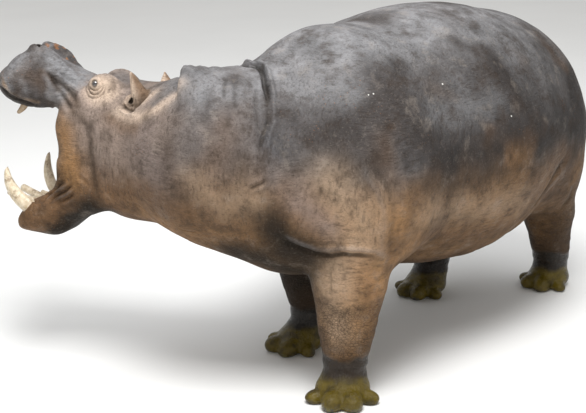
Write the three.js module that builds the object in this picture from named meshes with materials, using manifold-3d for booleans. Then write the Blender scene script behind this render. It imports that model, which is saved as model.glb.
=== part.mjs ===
// A life-size common hippopotamus (Hippopotamus amphibius), an adult bull, standing in a slow
// walk with its head turned to its right and its mouth wide open.
//
// Units are millimetres. +Z is up, the trunk points along -X, and the animal's left is -Y.
// The flesh is one smooth field: named masses that melt into each other. Each node is a
// region of that field, polygonised at its own cell size and parted by thin plane cuts.
import * as THREE from 'three';
import { mergeVertices } from 'three/addons/utils/BufferGeometryUtils.js';
import Module from 'manifold-3d';

const wasm = await Module();
wasm.setup();

// ---------------------------------------------------------------- driving dimensions
const GAP = 0.3;                       // between two nodes that touch
const REACH = 6000;                    // longer than the animal: the size of a cutting block

// trunk masses: centre x, z and radii along, across and up
const BELLY = { x: 106, z: 889, rx: 775, ry: 572, rz: 590 };
const BELLY_FLOOR = 330;               // the belly sags no lower than this
const RIBS = { x: -253, z: 969, rx: 605, ry: 511, rz: 482 };
const RUMP = { x: 612, z: 921, rx: 398, ry: 466, rz: 430 };
const WITHERS = { x: -614, z: 1097, rx: 320, ry: 367, rz: 384 };
const BRISKET = { x: -792, y: 28, z: 822, rx: 350, ry: 335, rz: 354 };
const SHOULDER = { x: -608, y: 293, z: 870, r: [274, 202, 361], lean: -8 };
const HAUNCH = { x: 672, y: 232, z: 746, r: [269, 214, 300], lean: 8 };

// neck: a thick tapering column from the withers round to the back of the head
const NECK = [
  { at: [-677, 47, 967], r: 340 },
  { at: [-1010, 238, 986], r: 352 },
];
const NAPE = { x: -262, z: -196, r: 272 };         // last neck mass, in the head's frame
const NECK_WIDTH = 0.85;                           // section: width over height

// tail, hanging against the rump
const TAIL = [
  { at: [950, 0, 1085], r: 66 },
  { at: [1052, 0, 950], r: 42 },
  { at: [1078, 0, 690], r: 27 },
];

// legs: joint centres, radii at hip, knee and ankle, section (side, fore) and foot direction
const LEGS = {
  fore_left: {
    hip: [-740, -285, 800], knee: [-828, -281, 490], ankle: [-838, -274, 140],
    foot: [-868, -284], turn: 37, r: [185, 134, 79], section: [1.12, 0.95], size: 1.0,
  },
  fore_right: {
    hip: [-640, 285, 780], knee: [-522, 228, 470], ankle: [-480, 200, 130],
    foot: [-540, 208], turn: -8, r: [185, 120, 74], section: [1.15, 0.86], size: 0.94,
  },
  hind_left: {
    hip: [740, -245, 620], knee: [826, -246, 400], ankle: [888, -236, 150],
    foot: [884, -228], turn: -5, r: [172, 116, 86], section: [1.0, 1.05], size: 0.88,
  },
  hind_right: {
    hip: [660, 245, 620], knee: [548, 214, 380], ankle: [452, 180, 130],
    foot: [400, 184], turn: 0, r: [172, 114, 83], section: [1.0, 1.0], size: 0.88,
  },
};
// toes: angle from the foot's own direction, half width, and reach from the foot's centre
const TOES = [
  { angle: -66, r: 36, reach: 112 },
  { angle: -19, r: 50, reach: 110 },
  { angle: 19, r: 50, reach: 110 },
  { angle: 66, r: 36, reach: 112 },
];
const SOLE = 0;                        // every foot stands at this level
const ANKLE_CUT = 118;                 // the foot ends and the leg starts here

// head frame: origin midway between the eyes, x to the muzzle, y to the animal's left, z up
const HEAD = { at: [-1105, 799, 1228], yaw: 113, pitch: -20, roll: 7.5 };
const JAW_JOINT = [-180, 0, -190];     // in the head's frame
const GAPE = 60;                       // degrees between the upper and the lower tooth rows
const EYE = { at: [-1, 133, -1], r: 20 };
const EAR = {
  base: [-220, 158, 26],
  tip: { left: [-146, 195, 114], right: [-172, 196, 92] },
  r: 44,
  rTip: 9,
  hollow: [66, 40, 14],                // from the base to the funnel that opens forward
  hollowRadii: [44, 26, 40],
};
const TONGUE = { at: [272, 0, -4], r: [142, 72, 36] };

// teeth: the path from root to tip in the frame of the jaw they stand in; the lower canines
// and the inner incisors have grown unevenly, so each side has its own
const TEETH = {
  canine_lower: {
    left: { path: [[474, 146, -20], [490, 152, 50], [492, 160, 130], [448, 165, 210]], r: 29 },
    right: { path: [[470, 146, -20], [472, 152, 62], [449, 160, 131], [392, 165, 192]], r: 22 },
    tip: 3, bluntness: 3, rings: 6,
  },
  incisor_lower_inner: {
    left: { path: [[450, 44, -10], [520, 47, 70], [564, 50, 148]] },
    right: { path: [[462, 44, -20], [506, 46, 58], [545, 46, 140]] },
    r: 9, tip: 9, bluntness: 4, rings: 4,
  },
  incisor_lower_outer: {
    path: [[455, 92, -5], [488, 98, 40], [508, 101, 74]], r: 6, tip: 7, bluntness: 3, rings: 3,
  },
  canine_upper: {
    upper: true, path: [[252, 130, -165], [259, 132, -210], [272, 132, -252]],
    r: 10, tip: 7, bluntness: 2.5, rings: 4,
  },
  incisor_upper_inner: {
    upper: true, path: [[330, 38, -165], [334, 39, -190], [340, 40, -214]],
    r: 6, tip: 8, bluntness: 3, rings: 3,
  },
  incisor_upper_outer: {
    upper: true, path: [[318, 84, -165], [321, 86, -190], [326, 88, -212]],
    r: 6, tip: 8, bluntness: 3, rings: 3,
  },
};
const MOLARS = [
  { upper: true, start: [-60, 88, -161], count: 4, pitch: 46, width: 34, height: 54 },
  { upper: false, start: [312, 92, 2], count: 3, pitch: 46, width: 34, height: 44 },
];

// grid cells: how finely each region is faceted
const CELLS = { trunk: 127, neck: 92, leg: 76, foot: 41, head: 43, tail: 40, ear: 16 };
const SWELL = 0.045;                   // a facet's corners stand this share of a cell proud

// ---------------------------------------------------------------- small vector helpers
const radians = THREE.MathUtils.degToRad;
const vector = (a) => new THREE.Vector3(...a);

// A frame: yaw about Z, then pitch about its own Y, then roll about its own X.
function frameAt(origin, yaw, pitch = 0, roll = 0, parent = null) {
  const turn = new THREE.Matrix4()
    .makeRotationZ(radians(yaw))
    .multiply(new THREE.Matrix4().makeRotationY(radians(pitch)))
    .multiply(new THREE.Matrix4().makeRotationX(radians(roll)));
  const matrix = new THREE.Matrix4().makeTranslation(...origin).multiply(turn);
  return parent ? parent.clone().multiply(matrix) : matrix;
}
const WORLD = new THREE.Matrix4();
const head = frameAt(HEAD.at, HEAD.yaw, HEAD.pitch, HEAD.roll);
const jaw = frameAt(JAW_JOINT, 0, GAPE, 0, head);
const inFrame = (frame, point) => vector(point).applyMatrix4(frame);
const axisOf = (frame, axis) => vector(axis).transformDirection(frame);

// ---------------------------------------------------------------- masses
// Each mass is a function of a point: negative inside, roughly the distance outside.
function ellipsoid(frame, centre, radii, yaw = 0, pitch = 0) {
  const inverse = frameAt(centre, yaw, pitch, 0, frame).invert();
  const [a, b, c] = radii;
  const q = new THREE.Vector3();
  return (p) => {
    q.copy(p).applyMatrix4(inverse);
    const k0 = Math.hypot(q.x / a, q.y / b, q.z / c);
    const k1 = Math.hypot(q.x / (a * a), q.y / (b * b), q.z / (c * c));
    return k1 < 1e-9 ? -Math.min(a, b, c) : k0 * (k0 - 1) / k1;
  };
}

function roundBox(frame, centre, half, round) {
  const inverse = frameAt(centre, 0, 0, 0, frame).invert();
  const q = new THREE.Vector3();
  return (p) => {
    q.copy(p).applyMatrix4(inverse);
    const x = Math.abs(q.x) - half[0] + round;
    const y = Math.abs(q.y) - half[1] + round;
    const z = Math.abs(q.z) - half[2] + round;
    const outside = Math.hypot(Math.max(x, 0), Math.max(y, 0), Math.max(z, 0));
    return outside + Math.min(Math.max(x, y, z), 0) - round;
  };
}

// A tapered capsule from one point to another, with an oval section: side and up scale it,
// and up lies along `reference`.
function column(from, to, r0, r1, side = 1, up = 1, reference = [0, 0, 1]) {
  const start = vector(from.toArray ? from.toArray() : from);
  const along = vector(to.toArray ? to.toArray() : to).sub(start);
  const length = along.length();
  along.normalize();
  const rise = vector(reference);
  rise.addScaledVector(along, -rise.dot(along)).normalize();
  const across = new THREE.Vector3().crossVectors(rise, along);
  const sine = (r0 - r1) / length;
  const cosine = Math.sqrt(Math.max(1 - sine * sine, 1e-9));
  const thin = Math.min(side, up, 1);
  const q = new THREE.Vector3();
  return (p) => {
    q.copy(p).sub(start);
    const x = Math.hypot(q.dot(across) / side, q.dot(rise) / up);
    const y = q.dot(along);
    const k = y * cosine - x * sine;
    if (k < 0) return (Math.hypot(x, y) - r0) * thin;
    if (k > cosine * length) return (Math.hypot(x, y - length) - r1) * thin;
    return (x * cosine + y * sine - r0) * thin;
  };
}

// Smooth joins: the two surfaces melt together where they are closer than k.
const melt = (a, b, k) => {
  const h = Math.max(k - Math.abs(a - b), 0) / k;
  return Math.min(a, b) - h * h * k / 4;
};
const carve = (a, b, k) => -melt(-a, b, k);

class Flesh {
  constructor() {
    this.steps = [];
  }

  add(mass, k) {
    this.steps.push([melt, mass, k]);
  }

  cut(mass, k) {
    this.steps.push([carve, mass, k]);
  }

  at(p) {
    let d = REACH;
    for (const [join, mass, k] of this.steps) d = join(d, mass(p), k);
    return d;
  }
}

// ---------------------------------------------------------------- the body
const SIDES = [['left', 1], ['right', -1]];        // sign of y in the head's frame

function addTrunk(flesh) {
  const barrel = (m, y = 0) => ellipsoid(WORLD, [m.x, y, m.z], [m.rx, m.ry, m.rz]);
  flesh.add(barrel(BELLY), 120);
  flesh.cut((p) => p.z - BELLY_FLOOR, 120);
  flesh.add(barrel(RIBS), 150);
  flesh.add(barrel(RUMP), 150);
  flesh.add(barrel(WITHERS), 150);
  flesh.add(barrel(BRISKET, BRISKET.y), 150);
}

function addNeck(flesh) {
  const nape = inFrame(head, [NAPE.x, 0, NAPE.z]);
  flesh.add(column(NECK[0].at, NECK[1].at, NECK[0].r, NECK[1].r, NECK_WIDTH), 150);
  flesh.add(column(NECK[1].at, nape, NECK[1].r - 5, NAPE.r, NECK_WIDTH), 120);
}

function addLeg(flesh, name) {
  const leg = LEGS[name];
  const side = name.endsWith('left') ? -1 : 1;
  const mass = name.startsWith('fore') ? SHOULDER : HAUNCH;
  const shift = name.startsWith('fore') ? 25 * side : 0;
  flesh.add(ellipsoid(WORLD, [mass.x + shift, side * mass.y, mass.z], mass.r, 0, mass.lean), 120);
  const heading = radians(180 + leg.turn);
  const ahead = [Math.cos(heading), Math.sin(heading), 0];
  const [wide, deep] = leg.section;
  flesh.add(column(leg.hip, leg.knee, leg.r[0], leg.r[1]), 90);
  flesh.add(column(leg.knee, leg.ankle, leg.r[1], leg.r[2], wide, deep, ahead), 40);
}

function addFoot(flesh, leg) {
  const s = leg.size;
  const [x, y] = leg.foot;
  const [ax, ay] = leg.ankle;
  const heel = [(ax + x) / 2, (ay + y) / 2, 62];
  flesh.add(column(heel, [ax, ay, 120], 92 * s, 76 * s), 40);
  flesh.add(ellipsoid(WORLD, [x, y, 40], [112 * s, 112 * s, 58 * s], 180 + leg.turn), 40);
  for (const toe of TOES) {
    const angle = 180 + leg.turn + toe.angle;
    const tx = x + s * toe.reach * Math.cos(radians(angle));
    const ty = y + s * toe.reach * Math.sin(radians(angle));
    const radii = [s * (toe.r + 16), s * toe.r, s * toe.r * 0.9];
    flesh.add(ellipsoid(WORLD, [tx, ty, s * toe.r * 0.62], radii, angle), 16);
  }
}

function addTail(flesh) {
  flesh.add(column(TAIL[0].at, TAIL[1].at, TAIL[0].r, TAIL[1].r, 0.85), 60);
  flesh.add(column(TAIL[1].at, TAIL[2].at, TAIL[1].r, TAIL[2].r, 0.7, 1, [1, 0, 0]), 20);
}

function addHead(flesh) {
  flesh.add(ellipsoid(head, [-190, 0, -120], [190, 185, 160]), 80);       // cranium
  flesh.add(ellipsoid(head, [-110, 0, -45], [100, 150, 80]), 50);         // crown
  flesh.add(ellipsoid(head, [70, 0, -90], [260, 118, 95]), 60);           // bridge of the nose
  flesh.add(roundBox(head, [260, 0, -96], [130, 178, 102], 88), 60);      // muzzle
  for (const [, s] of SIDES) {
    flesh.add(ellipsoid(head, [-42, s * 104, -9], [80, 50, 66]), 28);    // brow
    flesh.add(ellipsoid(head, [280, s * 76, 12], [62, 48, 42]), 35);      // nostril
    flesh.add(ellipsoid(head, [304, s * 112, -140], [106, 86, 70]), 45);  // upper lip
    flesh.add(ellipsoid(head, [-70, s * 125, -130], [170, 68, 95]), 60);  // cheek bone
    flesh.add(ellipsoid(head, [-10, s * 125, -215], [112, 62, 90]), 60);  // cheek, upper
    flesh.add(ellipsoid(head, [-92, s * 125, -335], [138, 70, 165]), 60); // cheek, lower
  }
  flesh.add(ellipsoid(head, [-270, 0, -335], [190, 200, 150]), 90);       // throat
}

function addJaw(flesh) {
  flesh.add(roundBox(jaw, [315, 0, -64], [205, 135, 92], 76), 60);        // body of the jaw
  flesh.add(ellipsoid(jaw, [458, 0, -38], [132, 178, 74]), 50);           // chin
  for (const [, s] of SIDES) {
    flesh.add(ellipsoid(jaw, [506, s * 110, -12], [82, 72, 48]), 30);     // lower lip
    flesh.add(ellipsoid(jaw, [218, s * 95, -66], [160, 100, 94]), 60);   // angle of the jaw
  }
}

// The open mouth: a wedge between palate and tongue, and the gum troughs behind the lips.
function cutMouth(flesh) {
  const gullet = inFrame(head, [-110, 0, -285]);
  const opening = inFrame(head, [190, 0, -395]);
  const up = axisOf(head, [0, 0, 1]).toArray();
  flesh.cut(column(gullet, opening, 62, 205, 0.62, 0.95, up), 30);
  flesh.cut(ellipsoid(head, [215, 0, -205], [120, 100, 42]), 20);
  flesh.cut(ellipsoid(jaw, [380, 0, 32], [130, 98, 46]), 20);
}

function wholeBody() {
  const flesh = new Flesh();
  addTrunk(flesh);
  addNeck(flesh);
  for (const name of Object.keys(LEGS)) addLeg(flesh, name);
  addHead(flesh);
  addJaw(flesh);
  cutMouth(flesh);
  return flesh;
}

// ---------------------------------------------------------------- from field to solid
// Surface nets: one vertex for each grid cell that the surface crosses, then drawn onto the
// surface. The grid lies in `frame`, and its outer layer counts as outside, so that the
// result is always closed.
function polygonise(flesh, low, high, cell, frame = WORLD) {
  const n = [0, 1, 2].map((a) => Math.max(3, Math.ceil((high[a] - low[a]) / cell)) + 1);
  const place = (i, a) => low[a] + i * cell;
  const index = (i, j, k) => (i * n[1] + j) * n[2] + k;
  const values = new Float64Array(n[0] * n[1] * n[2]);
  const p = new THREE.Vector3();
  for (let i = 0; i < n[0]; i++) {
    for (let j = 0; j < n[1]; j++) {
      for (let k = 0; k < n[2]; k++) {
        const rim = i === 0 || j === 0 || k === 0
          || i === n[0] - 1 || j === n[1] - 1 || k === n[2] - 1;
        p.set(place(i, 0), place(j, 1), place(k, 2)).applyMatrix4(frame);
        const d = flesh.at(p);
        values[index(i, j, k)] = rim ? Math.max(d, cell / 2) : d;
      }
    }
  }
  const corners = [];
  for (let c = 0; c < 8; c++) corners.push([c & 1, (c >> 1) & 1, (c >> 2) & 1]);
  const edges = [];
  for (let c = 0; c < 8; c++) {
    for (const bit of [1, 2, 4]) if (!(c & bit)) edges.push([c, c | bit]);
  }
  const points = [];
  const cellVertex = new Map();
  for (let i = 0; i < n[0] - 1; i++) {
    for (let j = 0; j < n[1] - 1; j++) {
      for (let k = 0; k < n[2] - 1; k++) {
        const v = corners.map(([a, b, c]) => values[index(i + a, j + b, k + c)]);
        let count = 0;
        const sum = [0, 0, 0];
        for (const [c0, c1] of edges) {
          if ((v[c0] < 0) === (v[c1] < 0)) continue;
          const t = v[c0] / (v[c0] - v[c1]);
          for (let a = 0; a < 3; a++) sum[a] += corners[c0][a] * (1 - t) + corners[c1][a] * t;
          count++;
        }
        if (!count) continue;
        cellVertex.set(index(i, j, k), points.length / 3);
        const at = [i, j, k];
        const edgeCell = at.some((c, a) => c < 1 || c > n[a] - 3);
        p.set(...at.map((c, a) => place(c + sum[a] / count, a))).applyMatrix4(frame);
        if (!edgeCell) draw(flesh, p, cell / 2, cell * SWELL);
        points.push(p.x, p.y, p.z);
      }
    }
  }
  const faces = [];
  const quad = (a, b, c, d, flip) => {
    if (flip) faces.push(a, c, b, a, d, c);
    else faces.push(a, b, c, a, c, d);
  };
  // one quad for each grid edge that the surface crosses, round the four cells beside it
  const vertexOf = (cellAt) => cellVertex.get(index(...cellAt));
  for (let axis = 0; axis < 3; axis++) {
    const u = (axis + 1) % 3;
    const v = (axis + 2) % 3;
    const at = [0, 0, 0];
    for (at[axis] = 0; at[axis] < n[axis] - 1; at[axis]++) {
      for (at[u] = 1; at[u] < n[u] - 1; at[u]++) {
        for (at[v] = 1; at[v] < n[v] - 1; at[v]++) {
          const inside = values[index(...at)] < 0;
          const next = [...at];
          next[axis]++;
          if (inside === values[index(...next)] < 0) continue;
          const ring = [[1, 1], [0, 1], [0, 0], [1, 0]].map(([du, dv]) => {
            const beside = [...at];
            beside[u] -= du;
            beside[v] -= dv;
            return vertexOf(beside);
          });
          quad(...ring, !inside);
        }
      }
    }
  }
  return new wasm.Manifold(new wasm.Mesh({
    numProp: 3,
    vertProperties: Float32Array.from(points),
    triVerts: Uint32Array.from(faces),
  }));
}

// Moves a point to `proud` outside the surface, along the field's slope and no further
// than `limit`.
function draw(flesh, p, limit, proud) {
  const step = 2;
  const start = p.clone();
  const q = new THREE.Vector3();
  const slope = new THREE.Vector3();
  const probe = (x, y, z) => flesh.at(q.set(p.x + x, p.y + y, p.z + z));
  for (let pass = 0; pass < 4; pass++) {
    const d = flesh.at(p) - proud;
    slope.set(
      probe(step, 0, 0) - probe(-step, 0, 0),
      probe(0, step, 0) - probe(0, -step, 0),
      probe(0, 0, step) - probe(0, 0, -step),
    ).divideScalar(2 * step);
    p.addScaledVector(slope, -d / Math.max(slope.lengthSq(), 0.05));
  }
  if (p.distanceTo(start) > limit) p.sub(start).setLength(limit).add(start);
}

// ---------------------------------------------------------------- cutting blocks
function solidOf(geometry) {
  geometry.deleteAttribute('normal');
  geometry.deleteAttribute('uv');
  const merged = mergeVertices(geometry, 1e-4);
  return new wasm.Manifold(new wasm.Mesh({
    numProp: 3,
    vertProperties: Float32Array.from(merged.attributes.position.array),
    triVerts: Uint32Array.from(merged.index.array),
  }));
}

// Everything on the far side of a plane: a block whose near face holds the point and faces
// back along the normal. A positive `back` draws the face away from the point.
function beyond(point, normal, back = GAP / 2) {
  const n = vector(normal).normalize();
  const box = new THREE.BoxGeometry(REACH, REACH, REACH);
  const turn = new THREE.Quaternion().setFromUnitVectors(new THREE.Vector3(0, 0, 1), n);
  const centre = vector(point).addScaledVector(n, REACH / 2 + back);
  box.applyMatrix4(new THREE.Matrix4().compose(centre, turn, new THREE.Vector3(1, 1, 1)));
  return solidOf(box);
}

function block(low, high) {
  const box = new THREE.BoxGeometry(high[0] - low[0], high[1] - low[1], high[2] - low[2]);
  box.translate(...[0, 1, 2].map((a) => (low[a] + high[a]) / 2));
  return solidOf(box);
}

// ---------------------------------------------------------------- pieces of their own
// A closed tapering tube along a curve, for the teeth.
function horn(curve, radiusAt, rings = 8, sides = 10) {
  const points = [];
  const faces = [];
  const frames = curve.computeFrenetFrames(rings, false);
  for (let i = 0; i <= rings; i++) {
    const t = i / rings;
    const centre = curve.getPointAt(t);
    for (let s = 0; s < sides; s++) {
      const a = 2 * Math.PI * s / sides;
      const p = centre.clone()
        .addScaledVector(frames.normals[i], Math.cos(a) * radiusAt(t))
        .addScaledVector(frames.binormals[i], Math.sin(a) * radiusAt(t));
      points.push(...p.toArray());
    }
  }
  const first = points.length / 3;
  points.push(...curve.getPointAt(0).toArray(), ...curve.getPointAt(1).toArray());
  for (let i = 0; i < rings; i++) {
    for (let s = 0; s < sides; s++) {
      const a = i * sides + s;
      const b = i * sides + (s + 1) % sides;
      faces.push(a, b, b + sides, a, b + sides, a + sides);
    }
  }
  for (let s = 0; s < sides; s++) {
    const next = (s + 1) % sides;
    faces.push(first, next, s);
    faces.push(first + 1, rings * sides + s, rings * sides + next);
  }
  const geometry = new THREE.BufferGeometry();
  geometry.setAttribute('position', new THREE.Float32BufferAttribute(points, 3));
  geometry.setIndex(faces);
  return solidOf(geometry);
}

// ---------------------------------------------------------------- regions of the flesh
const flesh = wholeBody();
const region = (low, high, cell) => polygonise(flesh, low, high, cell);

// the skin fold in front of the left shoulder parts neck and trunk, and a plane across the
// front of the right shoulder
const NECK_PLANE = { point: [-900, 91, 0], normal: [-0.589, 0.808, 0] };
const NECK_REAR = { point: [-700, 0, 0], normal: [-1, 0.1, 0] };
const HEAD_BACK = -290;                // in the head's frame
const CHEEK_TOP = -190;
const CHEEK_FRONT = 165;
const JAW_PLANE = { point: [0, 0, -430], normal: [-0.326, 0, -0.945] };

// where each leg leaves the trunk: a point and a downward normal, and the leg's own block
const LEG_CUTS = {
  fore_left: { point: [-800, -280, 560], normal: [0, -0.22, -1], x: [-1080, -560] },
  fore_right: { point: [-560, 250, 525], normal: [-0.2, 0.22, -1], x: [-820, -395] },
  hind_left: { point: [800, -246, 490], normal: [0.3, -0.25, -1], x: [600, 1150] },
  hind_right: { point: [590, 225, 460], normal: [0.5, 0.25, -1], x: [360, 900] },
};
const LEG_INNER = 100;                 // the leg's block starts this far from the middle
const LEG_OUTER = 620;

const backOfHead = inFrame(head, [HEAD_BACK, 0, 0]).toArray();
const ahead = axisOf(head, [1, 0, 0]).toArray();
const leftward = axisOf(head, [0, 1, 0]).toArray();
const opposite = (n) => n.map((c) => -c);

function legBlock(name, grow) {
  const cut = LEG_CUTS[name];
  const left = name.endsWith('left');
  const y = left ? [-LEG_OUTER, -LEG_INNER + grow] : [LEG_INNER - grow, LEG_OUTER];
  const low = [cut.x[0] - grow, y[0], -200];
  const high = [cut.x[1] + grow, y[1], 900];
  return block(low, high).intersect(beyond(cut.point, cut.normal, -grow));
}

const neckBlock = (back) => beyond(NECK_PLANE.point, NECK_PLANE.normal, back)
  .intersect(beyond(NECK_REAR.point, NECK_REAR.normal, back));

function makeTrunk() {
  let trunk = region([-1240, -640, 250], [1110, 640, 1560], CELLS.trunk)
    .subtract(neckBlock(-GAP / 2));
  for (const name of Object.keys(LEGS)) trunk = trunk.subtract(legBlock(name, GAP / 2));
  return trunk;
}

function makeNeck() {
  let neck = region([-1520, -320, 400], [-600, 860, 1560], CELLS.neck)
    .intersect(neckBlock(GAP / 2))
    .intersect(beyond(backOfHead, opposite(ahead)));
  for (const name of Object.keys(LEGS)) neck = neck.subtract(legBlock(name, GAP / 2));
  return neck;
}

function makeLeg(name) {
  const leg = LEGS[name];
  const y = leg.knee[1];
  const x = leg.knee[0];
  const standing = new Flesh();
  standing.steps = [...flesh.steps];
  addFoot(standing, leg);
  const whole = polygonise(standing, [x - 420, y - 330, 60], [x + 420, y + 330, 760], CELLS.leg)
    .intersect(legBlock(name, -GAP / 2))
    .intersect(beyond([0, 0, ANKLE_CUT], [0, 0, 1]));
  return whole;
}

function makeFoot(name) {
  const leg = LEGS[name];
  const [x, y] = leg.foot;
  const standing = new Flesh();
  standing.steps = [...flesh.steps];
  addFoot(standing, leg);
  const reach = 230;
  return polygonise(standing, [x - reach, y - reach, -60], [x + reach, y + reach, 190], CELLS.foot)
    .intersect(beyond([0, 0, ANKLE_CUT], [0, 0, -1]))
    .intersect(beyond([0, 0, SOLE], [0, 0, 1], 0));
}

// ---------------------------------------------------------------- head pieces
const HEAD_BOX = [[-330, -266, -760], [460, 266, 100]];      // in the head's frame
const headPlane = (point, normal, back) => beyond(
  inFrame(head, point).toArray(), axisOf(head, normal).toArray(), back);

function makeHeadPieces() {
  let whole = polygonise(flesh, ...HEAD_BOX, CELLS.head, head);
  for (const row of MOLARS) {
    for (const [, side] of SIDES) whole = whole.add(molarRow(row, side));
  }
  whole = whole.intersect(beyond(backOfHead, ahead));
  const belowPalate = (back) => headPlane([0, 0, CHEEK_TOP], [0, 0, -1], back)
    .intersect(headPlane([CHEEK_FRONT, 0, 0], [-1, 0, 0], back));
  const below = whole.intersect(belowPalate(GAP / 2));
  const cheeks = below.intersect(headPlane(JAW_PLANE.point, opposite(JAW_PLANE.normal)));
  return {
    head: whole.subtract(belowPalate(-GAP / 2)),
    cheek_left: cheeks.intersect(headPlane([0, 0, 0], [0, 1, 0])),
    cheek_right: cheeks.intersect(headPlane([0, 0, 0], [0, -1, 0])),
    lower_jaw: below.intersect(headPlane(JAW_PLANE.point, JAW_PLANE.normal)),
  };
}

// Cuts a piece by what it stands on, under and between, and lifts it clear along `way`.
function seat(piece, supports, way) {
  const lift = vector(way).setLength(GAP);
  const sideways = vector(leftward).multiplyScalar(GAP);
  const shifts = [
    [0, 0, 0],
    lift.clone().multiplyScalar(-2).toArray(),
    sideways.clone().sub(lift).toArray(),
    sideways.clone().add(lift).negate().toArray(),
  ];
  let seated = piece;
  for (const support of supports) {
    for (const shift of shifts) seated = seated.subtract(support.translate(shift));
  }
  return seated.translate(lift.toArray());
}

function makeTail(trunk) {
  const tail = new Flesh();
  addTail(tail);
  const solid = polygonise(tail, [840, -120, 640], [1180, 120, 1200], CELLS.tail);
  return seat(solid, [trunk], [1, 0, -0.3]);
}

function makeEar(hand, side, heads) {
  const mirror = ([x, y, z]) => [x, side * y, z];
  const base = inFrame(head, mirror(EAR.base));
  const tip = inFrame(head, mirror(EAR.tip[hand]));
  const hollow = mirror(EAR.base.map((c, a) => c + EAR.hollow[a]));
  const ear = new Flesh();
  ear.add(column(base, tip, EAR.r, EAR.rTip), 14);
  ear.cut(ellipsoid(head, hollow, EAR.hollowRadii), 8);
  const low = base.clone().min(tip).subScalar(EAR.r * 1.4).toArray();
  const high = base.clone().max(tip).addScalar(EAR.r * 1.4).toArray();
  const solid = polygonise(ear, low, high, CELLS.ear);
  return seat(solid, heads, tip.clone().sub(base).toArray());
}

const ball = (centre, radius) => {
  const sphere = new THREE.SphereGeometry(radius, 10, 7);
  return solidOf(sphere.translate(...centre.toArray()));
};

function makeTongue(supports) {
  const shape = new THREE.SphereGeometry(1, 10, 7).scale(...TONGUE.r).translate(...TONGUE.at);
  return seat(solidOf(shape.applyMatrix4(jaw)), supports, axisOf(jaw, [-0.4, 0, 1]).toArray());
}

// A tooth: a curve from its root to its tip in a jaw's frame.
function makeTooth(kind, side, supports) {
  const tooth = { ...kind, ...(side > 0 ? kind.left : kind.right) };
  const frame = tooth.upper ? head : jaw;
  const curve = new THREE.CatmullRomCurve3(
    tooth.path.map(([x, y, z]) => inFrame(frame, [x, side * y, z])));
  const radius = (t) => tooth.r * (1 - t ** tooth.bluntness) + tooth.tip;
  const way = curve.getPointAt(1).sub(curve.getPointAt(0)).toArray();
  return seat(horn(curve, radius, tooth.rings, 7), supports, way);
}

// A row of low molar crowns along one side of a jaw; each crown stays on its jaw's side of
// the cuts that part the head.
function molarRow(row, side) {
  let solid = null;
  for (let i = 0; i < row.count; i++) {
    const crown = new THREE.BoxGeometry(row.pitch * 0.86, row.width, row.height);
    crown.translate(row.start[0] + i * row.pitch, side * row.start[1], row.start[2]);
    const piece = solidOf(crown.applyMatrix4(row.upper ? head : jaw));
    solid = solid ? solid.add(piece) : piece;
  }
  return solid;
}

// ---------------------------------------------------------------- materials
const paint = (colour, roughness = 0.75, metalness = 0) =>
  new THREE.MeshStandardMaterial({ color: colour, roughness, metalness });
const HIDE = paint('#6f6862');
const HEAD_HIDE = paint('#7a6f66');
const LEG_HIDE = paint('#8a7560');
const JAW_HIDE = paint('#57483b');
const FOOT_HIDE = paint('#4d441d', 0.55);
const EAR_HIDE = paint('#a88f72');
const TONGUE_FLESH = paint('#a8665f', 0.5);
const IVORY = paint('#c9bca0', 0.45);
const EYE_GLOSS = paint('#2a1c12', 0.12);

// ---------------------------------------------------------------- the animal
const hippopotamus = new THREE.Group();

function place(name, solid, material) {
  const mesh = solid.getMesh();
  const geometry = new THREE.BufferGeometry();
  geometry.setAttribute('position', new THREE.BufferAttribute(mesh.vertProperties, mesh.numProp));
  geometry.setIndex(new THREE.BufferAttribute(mesh.triVerts, 1));
  geometry.computeVertexNormals();
  const piece = new THREE.Mesh(geometry, material);
  piece.name = name;
  hippopotamus.add(piece);
}

const trunk = makeTrunk();
place('trunk', trunk, HIDE);
place('neck', makeNeck(), HIDE);
place('tail', makeTail(trunk), HIDE);
for (const name of Object.keys(LEGS)) {
  place(`leg_${name}`, makeLeg(name), LEG_HIDE);
  place(`foot_${name}`, makeFoot(name), FOOT_HIDE);
}

const pieces = makeHeadPieces();
for (const [, side] of SIDES) {
  const [x, y, z] = EYE.at;
  pieces.head = pieces.head.subtract(ball(inFrame(head, [x, side * y, z]), EYE.r + GAP));
}
place('head', pieces.head, HEAD_HIDE);
place('cheek_left', pieces.cheek_left, HEAD_HIDE);
place('cheek_right', pieces.cheek_right, HEAD_HIDE);
place('lower_jaw', pieces.lower_jaw, JAW_HIDE);
const tongue = makeTongue(Object.values(pieces));
place('tongue', tongue, TONGUE_FLESH);

for (const [hand, side] of SIDES) {
  const [x, y, z] = EYE.at;
  place(`eye_${hand}`, ball(inFrame(head, [x, side * y, z]), EYE.r), EYE_GLOSS);
  place(`ear_${hand}`, makeEar(hand, side, [pieces.head]), EAR_HIDE);
  for (const [name, tooth] of Object.entries(TEETH)) {
    const supports = [tooth.upper ? pieces.head : pieces.lower_jaw];
    place(`${name}_${hand}`, makeTooth(tooth, side, supports), IVORY);
  }
}

// The origin is on the ground, under the middle of the animal's box.
const box = new THREE.Box3().setFromObject(hippopotamus);
const middle = box.getCenter(new THREE.Vector3());
hippopotamus.position.set(-middle.x, -middle.y, -box.min.z);
hippopotamus.updateMatrixWorld(true);

export default hippopotamus;
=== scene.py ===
"""A life-size common hippopotamus bull with its mouth wide open: how it looks.

Lengths are millimetres in the animal's own frame (+Z up, the trunk points along -X, its left
is -Y) until `to_scene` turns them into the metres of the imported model. The head has axes of
its own (x to the muzzle, y to its left, z to its crown), and so has the lower jaw.
The skin is one mesh, drawn on a smooth field of masses that melt into each other.
"""
import math
from concurrent.futures import ThreadPoolExecutor

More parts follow.
